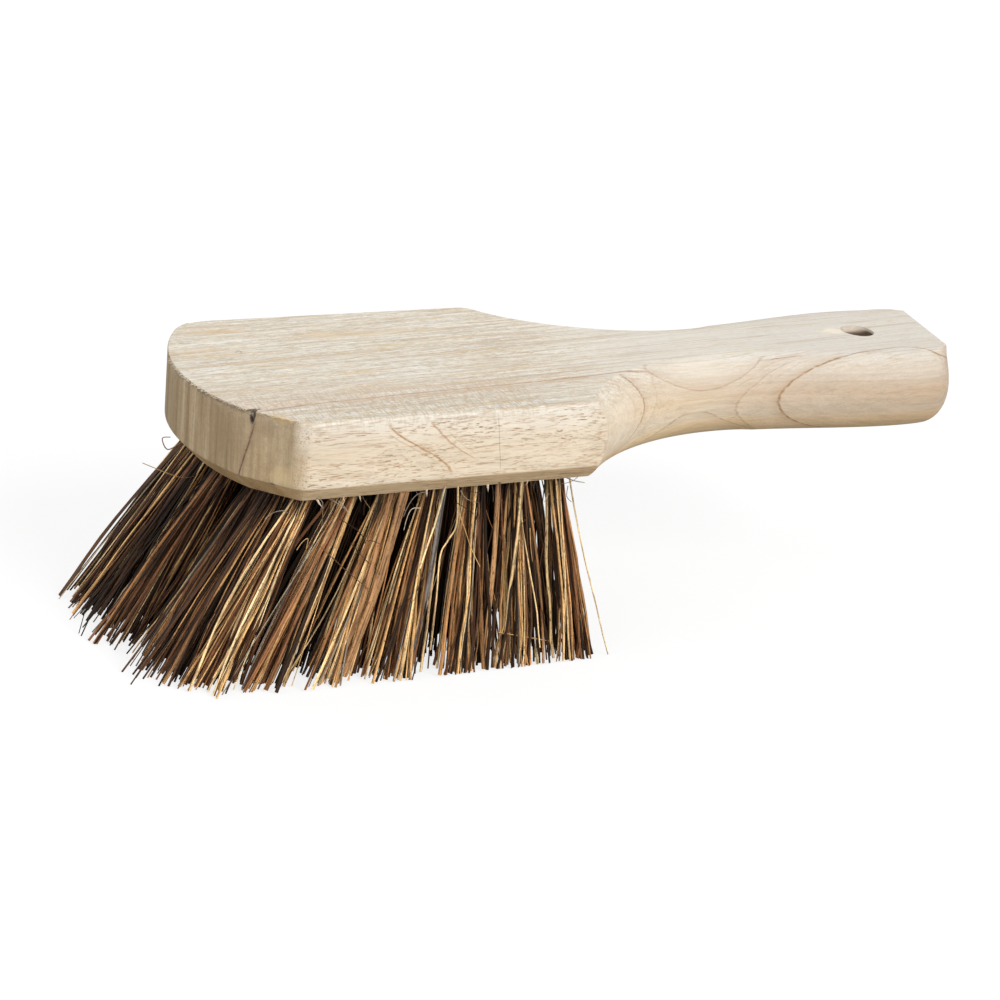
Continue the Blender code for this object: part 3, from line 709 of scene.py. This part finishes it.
def half_ring(depth, flat, shrink=0):
    """One half of the outline at a depth below the top face, from the front end to the handle's end."""
    ring = []
    chamfer = chamfer_at(depth) + shrink
    for point, normal in head_outline(flat, chamfer):
        past_corner = point.x > CORNER_FLAT_DEPTH - HEAD_LENGTH - 2 * MM
        side = clipped((point.y - HEAD_WIDTH / 2 + EDGE_CHANGE_LENGTH) / EDGE_CHANGE_LENGTH)
        edge = edge_at(depth, between(TOP_EDGE_RADIUS, SIDE_EDGE_RADIUS, side if past_corner else 0))
        ring.append(tuple(point - normal * edge))

    def add_grip(x, y, normal_x, normal_y, roundings):
        inset = rounding_at(depth, *roundings) + shrink
        ring.append((x - normal_x * inset, y - normal_y * inset))

    shoulder_radius = NECK_RADIUS + rounding_at(depth, *grip_roundings(0)) + shrink
    shoulder_y = HEAD_WIDTH / 2 - chamfer - edge_at(depth, SIDE_EDGE_RADIUS)
    shoulder_angle = math.acos((NECK_CENTRE_Y - shoulder_y) / shoulder_radius)
    side_x, side_y = ring[-1]
    shoulder_x = NECK_DISTANCE - shoulder_radius * math.sin(shoulder_angle)
    ring += [(between(side_x, shoulder_x, i / SIDE_STEPS), side_y) for i in range(1, SIDE_STEPS)]
    corner = len(ring)
    for i in range(NECK_STEPS + 1):
        a = shoulder_angle * (1 - i / NECK_STEPS)
        c, s = math.cos(a), math.sin(a)
        add_grip(NECK_DISTANCE - NECK_RADIUS * s, NECK_CENTRE_Y - NECK_RADIUS * c, s, c,
                 grip_roundings(NECK_DISTANCE * i / NECK_STEPS))
    for share in (i / GRIP_STEPS for i in range(1, GRIP_STEPS)):
        x = between(NECK_DISTANCE, BOW_CENTRE_X, share)
        y = between(NECK_WIDTH, HANDLE_WIDTH, share**2 * (3 - 2 * share)) / 2
        slope = (HANDLE_WIDTH - NECK_WIDTH) / (BOW_CENTRE_X - NECK_DISTANCE) * 3 * share * (1 - share)
        add_grip(x, y, *Vector((-slope, 1)).normalized(), grip_roundings(x))
    for i in range(BOW_STEPS + 1):
        a = END_ANGLE * i / BOW_STEPS
        c, s = math.cos(a), math.sin(a)
        x = BOW_CENTRE_X + BOW_RADIUS * s
        add_grip(x, BOW_CENTRE_Y + BOW_RADIUS * c, s, c, grip_roundings(x))
    corner_top, corner_bottom, _ = grip_roundings(x)
    for share in (i / END_CORNER_STEPS for i in range(1, END_CORNER_STEPS + 1)):
        a = between(END_ANGLE, math.pi / 2, share)
        c, s = math.cos(a), math.sin(a)
        roundings = (between(corner_top, END_TOP_ROUNDING, share**2),
                     between(corner_bottom, END_BOTTOM_ROUNDING, share**2), 1)
        add_grip(END_CENTRE_X + END_CORNER_RADIUS * s, END_CENTRE_Y + END_CORNER_RADIUS * c, s, c, roundings)
    end_y = ring[-1][1]
    for i in range(1, END_STEPS + 1):
        y = end_y * (1 - i / END_STEPS)
        add_grip(HANDLE_LENGTH, y, 1, 0, (END_TOP_ROUNDING, END_BOTTOM_ROUNDING, 1))
    if not flat:
        ring = softened(ring, range(corner - SOFT_REACH, corner + SOFT_REACH + 1), SOFT_ROUNDS)
    mirror = -1 if flat else 1
    return [(x + y * mirror * math.tan(END_SLANT) * max(0, (x - BOW_CENTRE_X) / BOW_DISTANCE), y)
            for x, y in ring]


def softened(ring, places, rounds):
    """The ring with the points at some places drawn towards their neighbours."""
    for _ in range(rounds):
        ring = [tuple((a + 2 * b + c) / 4 for a, b, c in zip(ring[k - 1], ring[k], ring[k + 1]))
                if k in places else ring[k] for k in range(len(ring))]
    return ring


def back_levels():
    """(depth, shrink) of each ring: close together where the edges turn, and one inside each face."""
    half = BACK_THICKNESS / 2
    above = (90, 86, 82, 78, 73, 68, 62, 55, 48, 40, 30, 20, 10, 0, -10, -20, -28)
    depths = [half * (1 - math.sin(math.radians(a))) for a in above]
    start = BACK_THICKNESS - CHAMFER
    depths += [start + step * MM for step in (-0.25, -0.1, 0, 0.1, 0.25, 1.1, 1.9, 2.8, 3.5, 4, 4.25)]
    depths.append(BACK_THICKNESS)
    return [(0, 0.6 * MM)] + [(depth, 0) for depth in depths] + [(BACK_THICKNESS, 0.5 * MM)]


def add_prism(points, faces, rings):
    """Joins rings of points into a closed body."""
    start, count = len(points), len(rings[0])
    for ring in rings:
        points += ring
    for level in range(len(rings) - 1):
        base = start + level * count
        for i in range(count):
            j = (i + 1) % count
            faces.append((base + i, base + j, base + count + j, base + count + i))
    faces.append(tuple(start + i for i in reversed(range(count))))
    faces.append(tuple(start + (len(rings) - 1) * count + i for i in range(count)))


def back_loft():
    points, faces, rings = [], [], []
    for depth, shrink in back_levels():
        far, near = half_ring(depth, False, shrink), half_ring(depth, True, shrink)
        ring = far + [(x, -y) for x, y in reversed(near[1:-1])]
        rings.append([(SHOULDER_X + x, y, TOP_Z - depth) for x, y in ring])
    add_prism(points, faces, rings)
    obj = mesh_object("back_wood", points, faces, wood)
    outward(obj)
    return obj


def circle(x, y, z, radius, sides=40):
    angles = [math.tau * i / sides for i in range(sides)]
    return [(x + radius * math.cos(a), y + radius * math.sin(a), z) for a in angles]


def cut(obj, name, prisms):
    """Cuts prisms out of an object for good, in millimetres."""
    points, faces = [], []
    for rings in prisms:
        add_prism(points, faces, rings)
    cutter = mesh_object(name, points, faces, smooth=False)
    outward(cutter)
    for each in (obj, cutter):
        each.data.transform(Matrix.Scale(1 / MM, 4))
    modifier = obj.modifiers.new("cut", "BOOLEAN")
    modifier.operation = "DIFFERENCE"
    modifier.solver = "EXACT"
    modifier.object = cutter
    bpy.context.view_layer.update()
    mesh = bpy.data.meshes.new_from_object(obj.evaluated_get(bpy.context.evaluated_depsgraph_get()))
    obj.modifiers.clear()
    mesh.transform(Matrix.Scale(MM, 4))
    obj.data = mesh
    bpy.data.objects.remove(cutter, do_unlink=True)


# The tufts, with the near row first: each row is its place across the head, then its first and last tuft,
# their number, how far the fibres spread, and the number of the model's row that it replaces, if any.
ROWS = (
    (-0.765, 0.778, 0.09, 7, 1.75, 1),
    (-0.575, 0.81, 0.14, 7, 2.0, None),
    (-0.385, 0.81, 0.1, 5, 2.3, 2),
    (-0.19, 0.77, 0.13, 6, 2.1, None),
    (0, 0.84, 0.17, 5, 2.3, 3),
    (0.19, 0.77, 0.13, 6, 2.1, None),
    (0.385, 0.825, 0.1, 5, 2.3, 4),
    (0.575, 0.82, 0.14, 7, 2.0, None),
    (0.765, 0.79, 0.09, 7, 1.75, 5),
)


def tuft_places():
    places = []
    for across, first, last, count, spread, row in ROWS:
        for i in range(count):
            x = -HEAD_LENGTH * between(first, last, i / (count - 1))
            places.append((x, across * HEAD_WIDTH / 2, spread, row and f"r{row}_t{i + 1}"))
    return places


PLACES = tuft_places()

# The split, from a notch in the top edge down the end and over the chamfer: places in mm, half width, depth
SPLIT = (
    ((-91.9, -28.9, 0.6), 0.75, 3.4), ((-91.9, -29.1, -0.8), 0.62, 3.0), ((-91.8, -29.4, -2.4), 0.45, 2.2),
    ((-91.9, -29.5, -3.6), 0.2, 1.3), ((-92.1, -29.2, -4.9), 0.12, 0.9), ((-92.4, -28.6, -8.8), 0.1, 0.8),
    ((-92.7, -28.0, -11.5), 0.08, 0.8), ((-93.0, -27.5, -14.3), 0.1, 0.9),
    ((-93.2, -26.9, -16.6), 0.1, 0.8), ((-90.9, -27.2, -19.4), 0.05, 0.6),
)
SPLIT_INWARD, SPLIT_LEAD = Vector((0.87, 0.49, 0)), 1.5
CUT_OVERLAP = 1 * MM


def split_rings():
    along = Vector((-SPLIT_INWARD.y, SPLIT_INWARD.x, 0))
    rings = []
    for middle, width, depth in SPLIT:
        mouth = place_mm(*middle) - SPLIT_INWARD * SPLIT_LEAD * MM
        # The cutter starts outside the wood, so it is wider there than at the face.
        side = along * width * 1.6 * MM
        rings.append([tuple(mouth - side), tuple(mouth + side),
                      tuple(place_mm(*middle) + SPLIT_INWARD * depth * MM)])
    return rings


def make_back():
    back = back_loft()
    bottom = TOP_Z - BACK_THICKNESS
    for row in sorted({y for _, y, _, _ in PLACES}):
        cut(back, "row_holes", [[circle(SHOULDER_X + x, y, z, HOLE_DIAMETER / 2, 20)
                                 for z in (bottom + HOLE_DEPTH, bottom - CUT_OVERLAP)]
                                for x, y, _, _ in PLACES if y == row])
    x = SHOULDER_X + HANDLE_LENGTH - HANGING_HOLE_INSET
    radius = HANGING_HOLE_DIAMETER / 2
    heights = (TOP_Z + CUT_OVERLAP, bottom - CUT_OVERLAP)
    cut(back, "hanging_hole", [[circle(x, 0, z, radius) for z in heights]])
    cut(back, "worn_edge", [[circle(x - 0.3 * MM, 0.9 * MM, TOP_Z + 0.4 * MM, radius + 0.3 * MM),
                             circle(x, 0.2 * MM, TOP_Z - 2.2 * MM, radius - 0.1 * MM)]])
    cut(back, "split", [split_rings()])
    back.data.set_sharp_from_angle(angle=math.radians(28))
    return back


back = make_back()
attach(back, "root")
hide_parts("back")


# Fibres

FIBRE_STEPS = 9
GOLDEN_ANGLE = 2.39996
OUTER_COUNT, INNER_COUNT = 80, 50
# Past these a tuft is in a side row, at the front end, at the handle, or is its row's last
SIDE_ROW_Y = 0.7 * HEAD_WIDTH / 2
FRONT_X, HANDLE_X, LAST_X = -0.72 * HEAD_LENGTH, -0.2 * HEAD_LENGTH, -0.18 * HEAD_LENGTH
# How far a fibre keeps from the sides of the model's box
BOX_GAP = 0.05 * MM
# How bright each tuft of the near row is, from the front end: 1 is even, and a lower number is brighter.
NEAR_BRIGHTNESS = (0.95, 0.55, 0.45, 0.5, 1.0, 1.15, 1.3)


class Strands:
    """Collects fibres, each a tube through points with its own width, flatness and turn."""

    def __init__(self):
        self.points, self.faces, self.strand, self.tones = [], [], [], []

    def add(self, path, widths, flat=0.75, turn=0.0, sides=5, tone=None):
        start = len(self.points)
        if tone is None:
            tone = random.Random(f"tone {start}").random()
        self.tones += [tone] * sides * len(path)
        own = Vector((start * 0.37, start * 0.13, 0))
        path = [Vector(p) for p in path]
        last = len(path) - 1
        rings = []
        for k, point in enumerate(path):
            along = (path[min(k + 1, last)] - path[max(k - 1, 0)]).normalized()
            side = along.cross(Vector((math.cos(turn), math.sin(turn), 0.05))).normalized()
            other = along.cross(side)
            radius = widths[k] / 2
            offsets = [(radius * math.cos(a), radius * flat * math.sin(a))
                       for a in (math.tau * i / sides for i in range(sides))]
            rings.append([point + side * c + other * s for c, s in offsets])
            self.strand += [own + Vector((c, s, (path[0] - point).length)) / MM for c, s in offsets]
        add_prism(self.points, self.faces, rings)

    def make(self, name, material, node=None):
        obj = mesh_object(name, self.points, self.faces, material)
        outward(obj)
        obj.data.set_sharp_from_angle(angle=math.radians(80))
        # Where each point lies in its fibre, in mm: across it twice, then along it
        places = obj.data.attributes.new("strand", "FLOAT_VECTOR", "POINT")
        places.data.foreach_set("vector", np.array(self.strand, dtype=np.float32).ravel())
        tones = obj.data.attributes.new("tone", "FLOAT", "POINT")
        tones.data.foreach_set("value", self.tones)
        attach(obj, "root")
        if node:
            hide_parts(node)


def inside(point, width):
    """The nearest place within the model's box for a fibre of this width."""
    room = BOX_GAP + width / 2
    return Vector([min(max(v, low + room), high - room) for v, low, high in zip(point, LOW, HIGH)])


def lean_at(x, y):
    """How far a tuft's tips stand from its hole, forwards and to the far side."""
    forward = 0.55 * (1 + 0.11 * y / (HEAD_WIDTH / 2)) * (x + 25.4 * MM)
    return Vector((forward, 0.11 * min(0, y) - 0.11 * min(0, forward)))


def make_tuft(index, x, y, spread, node):
    draw = random.Random(f"tuft {index}")
    at_side, near, front = abs(y) > SIDE_ROW_Y, y < -SIDE_ROW_Y, x < FRONT_X
    at_end = front or x > HANDLE_X
    # The near row's last tuft is slim.
    last = near and x > LAST_X
    # The near row's tips stand further out towards the handle.
    out = between(1.2, -3.6, clipped((x / MM + 76) / 40)) if near else 0
    shift = Vector((4.2 if front else -1.2 if last else 0, out)) * MM
    tip_spread = 1.8 if last else 3.3 if front else 2.7
    bright = NEAR_BRIGHTNESS[index] if near else 1
    mouth = Vector((SHOULDER_X + x, y, TOP_Z - BACK_THICKNESS))
    lean = lean_at(x, y)
    strands = Strands()
    count = OUTER_COUNT if at_side or front else INNER_COUNT
    for i in range(count):
        reach = math.sqrt((i + 0.5) / count) * (HOLE_DIAMETER / 2 - 0.7 * MM)
        angle = i * GOLDEN_ANGLE + draw.uniform(-0.3, 0.3)
        root = Vector((reach * math.cos(angle), reach * math.sin(angle)))
        if last:
            root.x = min(root.x, 1.4 * MM)
        # Some fibres go astray, fewer at the ends.
        wild = (1.6 if at_end else 2.5) if draw.random() < 0.18 else 1
        tip = root * spread + lean + Vector((draw.gauss(0, tip_spread) * wild, draw.gauss(0, 1.3))) * MM
        tip += shift
        kind, flat = draw.random(), draw.uniform(0.5, 0.9)
        tone = draw.random() ** bright
        if kind < 0.08:
            width, flat = draw.uniform(1.0, 1.4) * MM, draw.uniform(0.4, 0.7)
            tone *= 0.62
        elif kind < 0.48:
            width = draw.uniform(0.62, 0.98) * MM
            tone *= 0.9
        else:
            width = draw.uniform(0.34, 0.6) * MM
        width *= 0.85 if front and not at_side else 1
        rise = abs(draw.gauss(0, 0.35)) * MM
        if draw.random() < 0.06:
            rise += draw.uniform(1, 6) * MM
        length = BRISTLE_LENGTH - rise
        sway = Vector((draw.gauss(-0.4 if front else 0, 0.9), draw.gauss(0, 0.5))) * MM
        wave = Vector((draw.gauss(0, 0.2), draw.gauss(0, 0.16))) * MM
        beats, phase = draw.uniform(1, 3), draw.uniform(0, math.tau)
        path, widths = [mouth + Vector((root.x, root.y, 6 * MM))], [width]
        for share in (k / FIBRE_STEPS for k in range(FIBRE_STEPS + 1)):
            # Fibres leave the hole along it and bend over to their lean in the first few millimetres.
            bent = max(0, share - 0.04 * math.exp(-share / 0.05))
            place = root + (tip - root) * bent * (length / BRISTLE_LENGTH)
            place += sway * math.sin(math.pi * share)
            place += wave * math.sin(beats * math.tau * share + phase) * share
            path.append(inside(mouth + Vector((place.x, place.y, -length * share)), width))
            widths.append(width * between(0.9, 1.05, share) * draw.uniform(0.9, 1.1))
        strands.add(path, widths, flat, draw.uniform(0, math.pi), tone=tone)
    # Tufts at the ends and in the inner rows take darker colours, a painted shade.
    material = fibres["near" if at_side else "front" if at_end else "inner"]
    name = f"fibres_{node}" if node else f"fibres_between_{index}"
    strands.make(name, material, node and f"tuft_{node}")


for index, (x, y, spread, node) in enumerate(PLACES):
    make_tuft(index, x, y, spread, node)

for name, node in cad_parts.items():
    if name.startswith("staple_"):
        node.data.materials.clear()
        node.data.materials.append(steel)


# Fibres and hairs that stand out in front of the near row: their points along the near side as x and
# height in mm, their distance out, width, flatness and material
SINGLE_FIBRES = (
    (((-53.4, -18), (-56, -30), (-59.7, -46), (-62.9, -57), (-66.6, -69)), -37.8, 2.6, 0.3, "strap"),
    (((-56.5, -18), (-59.5, -34), (-63.5, -52), (-68, -68)), -36.9, 1.3, 0.35, "strap"),
    (((-22, -18), (-21.6, -31), (-21.9, -42), (-22.4, -55), (-22.1, -70)), -37.8, 1.1, 0.6, "gold"),
    (((-28.6, -18), (-27.6, -36), (-27.4, -52), (-27.8, -70)), -37.4, 1.6, 0.4, "strap"),
    (((-43, -18), (-44.5, -39), (-46.1, -55), (-48.4, -68)), -37.5, 1.5, 0.4, "grey"),
    (((-43.4, -19), (-45.4, -28.4), (-47.1, -35), (-48.6, -41)), -38.9, 0.6, 0.7, "gold"),
    (((-40.4, -19), (-39.4, -29.6), (-41.4, -34.2), (-43.2, -38.3), (-43.2, -50), (-43.6, -64)),
     -38.6, 0.55, 0.7, "gold"),
    (((-29.1, -19), (-27.5, -27), (-26.7, -32.6), (-25, -41)), -38.9, 0.6, 0.7, "near"),
    (((-25.8, -60.7), (-18.8, -62.6), (-10.2, -65)), -39.3, 0.3, 0.9, "near"),
    (((-40.2, -24.1), (-37.9, -25.6), (-35.3, -27.5)), -39.3, 0.25, 0.9, "near"),
    (((-39.4, -26.8), (-37.3, -31.6), (-35.2, -36.6), (-32.2, -42)), -39.3, 0.25, 0.9, "near"),
    (((-50, -24.6), (-52.4, -24.6), (-53.5, -26.9), (-54.1, -30)), -39.3, 0.26, 0.9, "pale"),
    (((-48.5, -20.5), (-51.1, -21), (-53, -23.2), (-54.4, -26.6)), -39.0, 0.26, 0.9, "pale"),
    (((-77.1, -20.5), (-76, -20.9), (-75.4, -22), (-75.8, -23.4)), -37.5, 0.3, 0.9, "pale"),
    (((-64, -32), (-62.2, -32.2), (-60.2, -33.2)), -39.3, 0.24, 0.9, "pale"),
    (((-89.5, -25.2), (-87.5, -23.8), (-85, -23.5), (-83.7, -24.2)), -36, 0.24, 0.9, "pale"),
    (((-9.5, -20.5), (-7, -21.6), (-3.8, -22.4)), -37.5, 0.3, 0.9, "pale"),
    (((-9.5, -19), (-6.5, -29), (-2, -43), (2.3, -54.8), (5.4, -63.7), (8.2, -71.2)),
     -38.6, 0.5, 0.8, "gold"),
    (((-81.8, -33), (-80.6, -31.2), (-79.1, -30.3), (-79.4, -33.4)), -38.5, 0.22, 0.9, "near"),
)
# Hairs at the front end, with their widths
FRONT_HAIRS = (
    (((-95, 8, -21), (-99, 8, -23), (-101, 7, -19.5), (-99.6, 5, -18.5)), 0.34),
    (((-92, 6, -30), (-99, -1, -27), (-107, 4, -24.5)), 0.26),
)
CURVE_STEPS = 6
# How many short hairs stand at the outer holes, and how many longer ones lie over the near row
SHORT_HAIRS, LONG_HAIRS = 34, 14


def make_strays():
    """Broad and odd fibres of the near row, and loose hairs"""
    draw = random.Random("strays")
    groups = {kind: Strands() for kind in ("near", "strap", "gold", "grey", "pale")}

    def curve(kind, knots, width, flat=0.85):
        """A smooth tube through its knots."""
        knots = [place_mm(*knot) for knot in knots]
        path = []
        for a, b, c, d in zip([knots[0]] + knots, knots, knots[1:], knots[2:] + [knots[-1]]):
            for t in (i / CURVE_STEPS for i in range(CURVE_STEPS)):
                path.append(inside(0.5 * (2 * b + (c - a) * t + (2 * a - 5 * b + 4 * c - d) * t**2
                                          + (3 * b - a - 3 * c + d) * t**3), width * MM))
        path.append(inside(knots[-1], width * MM))
        widths = [width * between(1, 0.75, k / len(path)) * draw.uniform(0.92, 1.08) * MM
                  for k in range(len(path))]
        groups[kind].add(path, widths, flat, math.pi / 2 + draw.uniform(-0.2, 0.2))

    for points, y, width, flat, kind in SINGLE_FIBRES:
        # Under the wood they turn in to their holes.
        knots = [(x + 1.8, y + 3.5, z) if z > -20 else (x, y, z) for x, z in points]
        curve(kind, knots, width, flat)
    for knots, width in FRONT_HAIRS:
        curve("near", knots, width)
    for _ in range(SHORT_HAIRS):
        x, side = draw.uniform(-78, -4), -1 if draw.random() < 0.7 else 1
        start = Vector((x, side * draw.uniform(31, 35), draw.uniform(-25, -21)))
        step = Vector((draw.gauss(0, 1.4), side * draw.uniform(0.2, 1.2), -draw.uniform(0.8, 3)))
        bend = Vector((draw.gauss(0, 1.1), side * draw.uniform(-0.4, 0.5), draw.gauss(0, 0.8)))
        curve("pale" if draw.random() < 0.5 else "near", [start, start + step, start + step * 2 + bend],
              draw.uniform(0.16, 0.26))
    for _ in range(LONG_HAIRS):
        start = Vector((draw.uniform(-80, -8), -draw.uniform(35, 37.5), draw.uniform(-45, -24)))
        step = Vector((draw.gauss(0, 3.5), -draw.uniform(0, 1), -draw.uniform(3, 8)))
        end = start + step * 2 + Vector((draw.gauss(0, 2), 0.4, 0))
        curve("near", [start, start + step, end], draw.uniform(0.18, 0.3))
    for kind, strands in groups.items():
        strands.make(f"single_fibres_{kind}", fibres[kind])


# The burr starts this far within the edge, and has this many wisps at each of the first points of the
# far half's outline and of the near half's.
BURR_INSET, WISPS_AT_POINT, FAR_POINTS, NEAR_POINTS = 0.2 * MM, 4, 14, 54
SPLINTER_PLACES = (-76.5, -69.4, -65.2, -52.6, -47.2, -30.4, -18.8)


def make_burr():
    """Torn wood fibres along the front top edge, and splinters at the chamfer's lower edge"""
    draw = random.Random("burr")
    wisps = Strands()
    for flat, sign, count in ((False, 1, FAR_POINTS), (True, -1, NEAR_POINTS)):
        for point, normal in head_outline(flat, 0)[:count]:
            for _ in range(WISPS_AT_POINT):
                y = point.y - normal.y * BURR_INSET + draw.uniform(-0.6, 0.6) * MM
                root = Vector((SHOULDER_X + point.x - normal.x * BURR_INSET, sign * y,
                               TOP_Z - draw.uniform(0, 0.25) * MM))
                out = Vector((normal.x, sign * normal.y, draw.uniform(-0.2, 0.15)))
                out = out + Vector((0, draw.gauss(0, 0.5), 0))
                end = root + out.normalized() * draw.uniform(0.3, 1.3) * MM
                end.x, end.z = max(end.x, LOW[0]), min(end.z, HIGH[2])
                root.z = min(root.z, HIGH[2] - 0.1 * MM)
                wisps.add([root - out * 0.3 * MM, root.lerp(end, 0.5), end],
                          [0.22 * MM, 0.15 * MM, 0.04 * MM], 0.5, draw.uniform(0, 3), 3)
    for x in SPLINTER_PLACES:
        root = place_mm(x, -35.7, -21.3)
        tip = root + Vector((draw.gauss(0, 0.8), -draw.uniform(0, 0.5), -draw.uniform(1.2, 2.4))) * MM
        wisps.add([root + Vector((0, 0.3, 0.5)) * MM, root.lerp(tip, 0.5), tip],
                  [0.9 * MM, 0.5 * MM, 0.08 * MM], 0.4, draw.uniform(0, 3), 4)
    obj = mesh_object("edge_burr", wisps.points, wisps.faces, wood)
    outward(obj)
    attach(obj, "root")


make_strays()
make_burr()


# Floor, lights and camera

FLOOR_SIZE = 8
# Each lamp: the way it stands from the brush, its strength, and how wide it looks in degrees
LAMPS = {
    "key": ((0.32, -0.76, 0.56), 2.35, 30),
    "fill": ((-0.75, -0.35, 0.50), 1.1, 60),
    "rear": ((-0.1, 0.75, 0.65), 0.4, 60),
}
WORLD_LIGHT = 0.5
# The camera, solved from the head's straight edges and the handle's outline: how it is turned, and where it
# is from a point near the shoulders, to its right, upwards and backwards
CAMERA_AZIMUTH, CAMERA_ELEVATION, CAMERA_ROLL = (math.radians(a) for a in (-27.7, 21.13, 5.6))
CAMERA_TARGET, CAMERA_SHIFT = (-3.4, 0, 0), Vector((-7.68, -38.85, 681.7)) * MM
SENSOR_WIDTH = 36
FOCAL_PIXELS, IMAGE_WIDTH = 2600, 1000


def make_floor():
    """White to the camera but for a trace of shadow, and mid grey to the brush: little light comes up."""
    n = Nodes("floor_white")
    seen = n.node("ShaderNodeLightPath").outputs["Is Camera Ray"]
    soft = n.noise(n.node("ShaderNodeTexCoord").outputs["Object"], (3, 3, 3))
    grey = n.colours(soft, [(0, (0.40, 0.40, 0.40)), (1, (0.46, 0.46, 0.46))])
    n.finish(Base_Color=n.mix(seen, grey, (1, 1, 1)), Roughness=0.9, Specular_IOR_Level=0)
    glow = n.node("ShaderNodeEmission").outputs[0]
    mix = n.node("ShaderNodeMixShader", (n.times(seen, 0.8), n.shader.outputs[0], glow))
    n.link(mix.outputs[0], n.tree.nodes["Material Output"].inputs["Surface"])
    corners = [(x * FLOOR_SIZE, y * FLOOR_SIZE, 0) for x, y in ((-1, -1), (1, -1), (1, 1), (-1, 1))]
    mesh_object("floor", corners, [(0, 1, 2, 3)], n.material, smooth=False)


def make_lights():
    world = bpy.data.worlds.new("studio")
    bpy.context.scene.world = world
    world.use_nodes = True
    tree = world.node_tree
    background = tree.nodes["Background"]
    path = tree.nodes.new("ShaderNodeLightPath")
    strength = tree.nodes.new("ShaderNodeMapRange")
    strength.inputs["To Min"].default_value = WORLD_LIGHT
    strength.inputs["To Max"].default_value = 1
    tree.links.new(path.outputs["Is Camera Ray"], strength.inputs["Value"])
    tree.links.new(strength.outputs[0], background.inputs["Strength"])
    background.inputs["Color"].default_value = (1, 1, 1, 1)
    for name, (way, power, width) in LAMPS.items():
        data = bpy.data.lights.new(name, "SUN")
        data.energy, data.angle = power, math.radians(width)
        lamp = bpy.data.objects.new(name, data)
        bpy.context.scene.collection.objects.link(lamp)
        lamp.location = Vector(way)
        lamp.rotation_euler = (-Vector(way)).to_track_quat("-Z", "Y").to_euler()


def make_camera():
    camera = bpy.data.objects.new("camera", bpy.data.cameras.new("camera"))
    bpy.context.scene.collection.objects.link(camera)
    turn = Matrix.Rotation(CAMERA_AZIMUTH, 4, "Z") @ Matrix.Rotation(math.pi / 2 - CAMERA_ELEVATION, 4, "X")
    camera.matrix_world = (Matrix.Translation(place_mm(*CAMERA_TARGET)) @ turn
                           @ Matrix.Rotation(CAMERA_ROLL, 4, "Z") @ Matrix.Translation(CAMERA_SHIFT))
    camera.data.sensor_width = SENSOR_WIDTH
    camera.data.lens = SENSOR_WIDTH * FOCAL_PIXELS / IMAGE_WIDTH
    camera.data.clip_start, camera.data.clip_end = 0.01, 50
    bpy.context.scene.camera = camera


make_floor()
make_lights()
make_camera()
bpy.context.scene.view_settings.view_transform = "Standard"

bpy.context.view_layer.update()
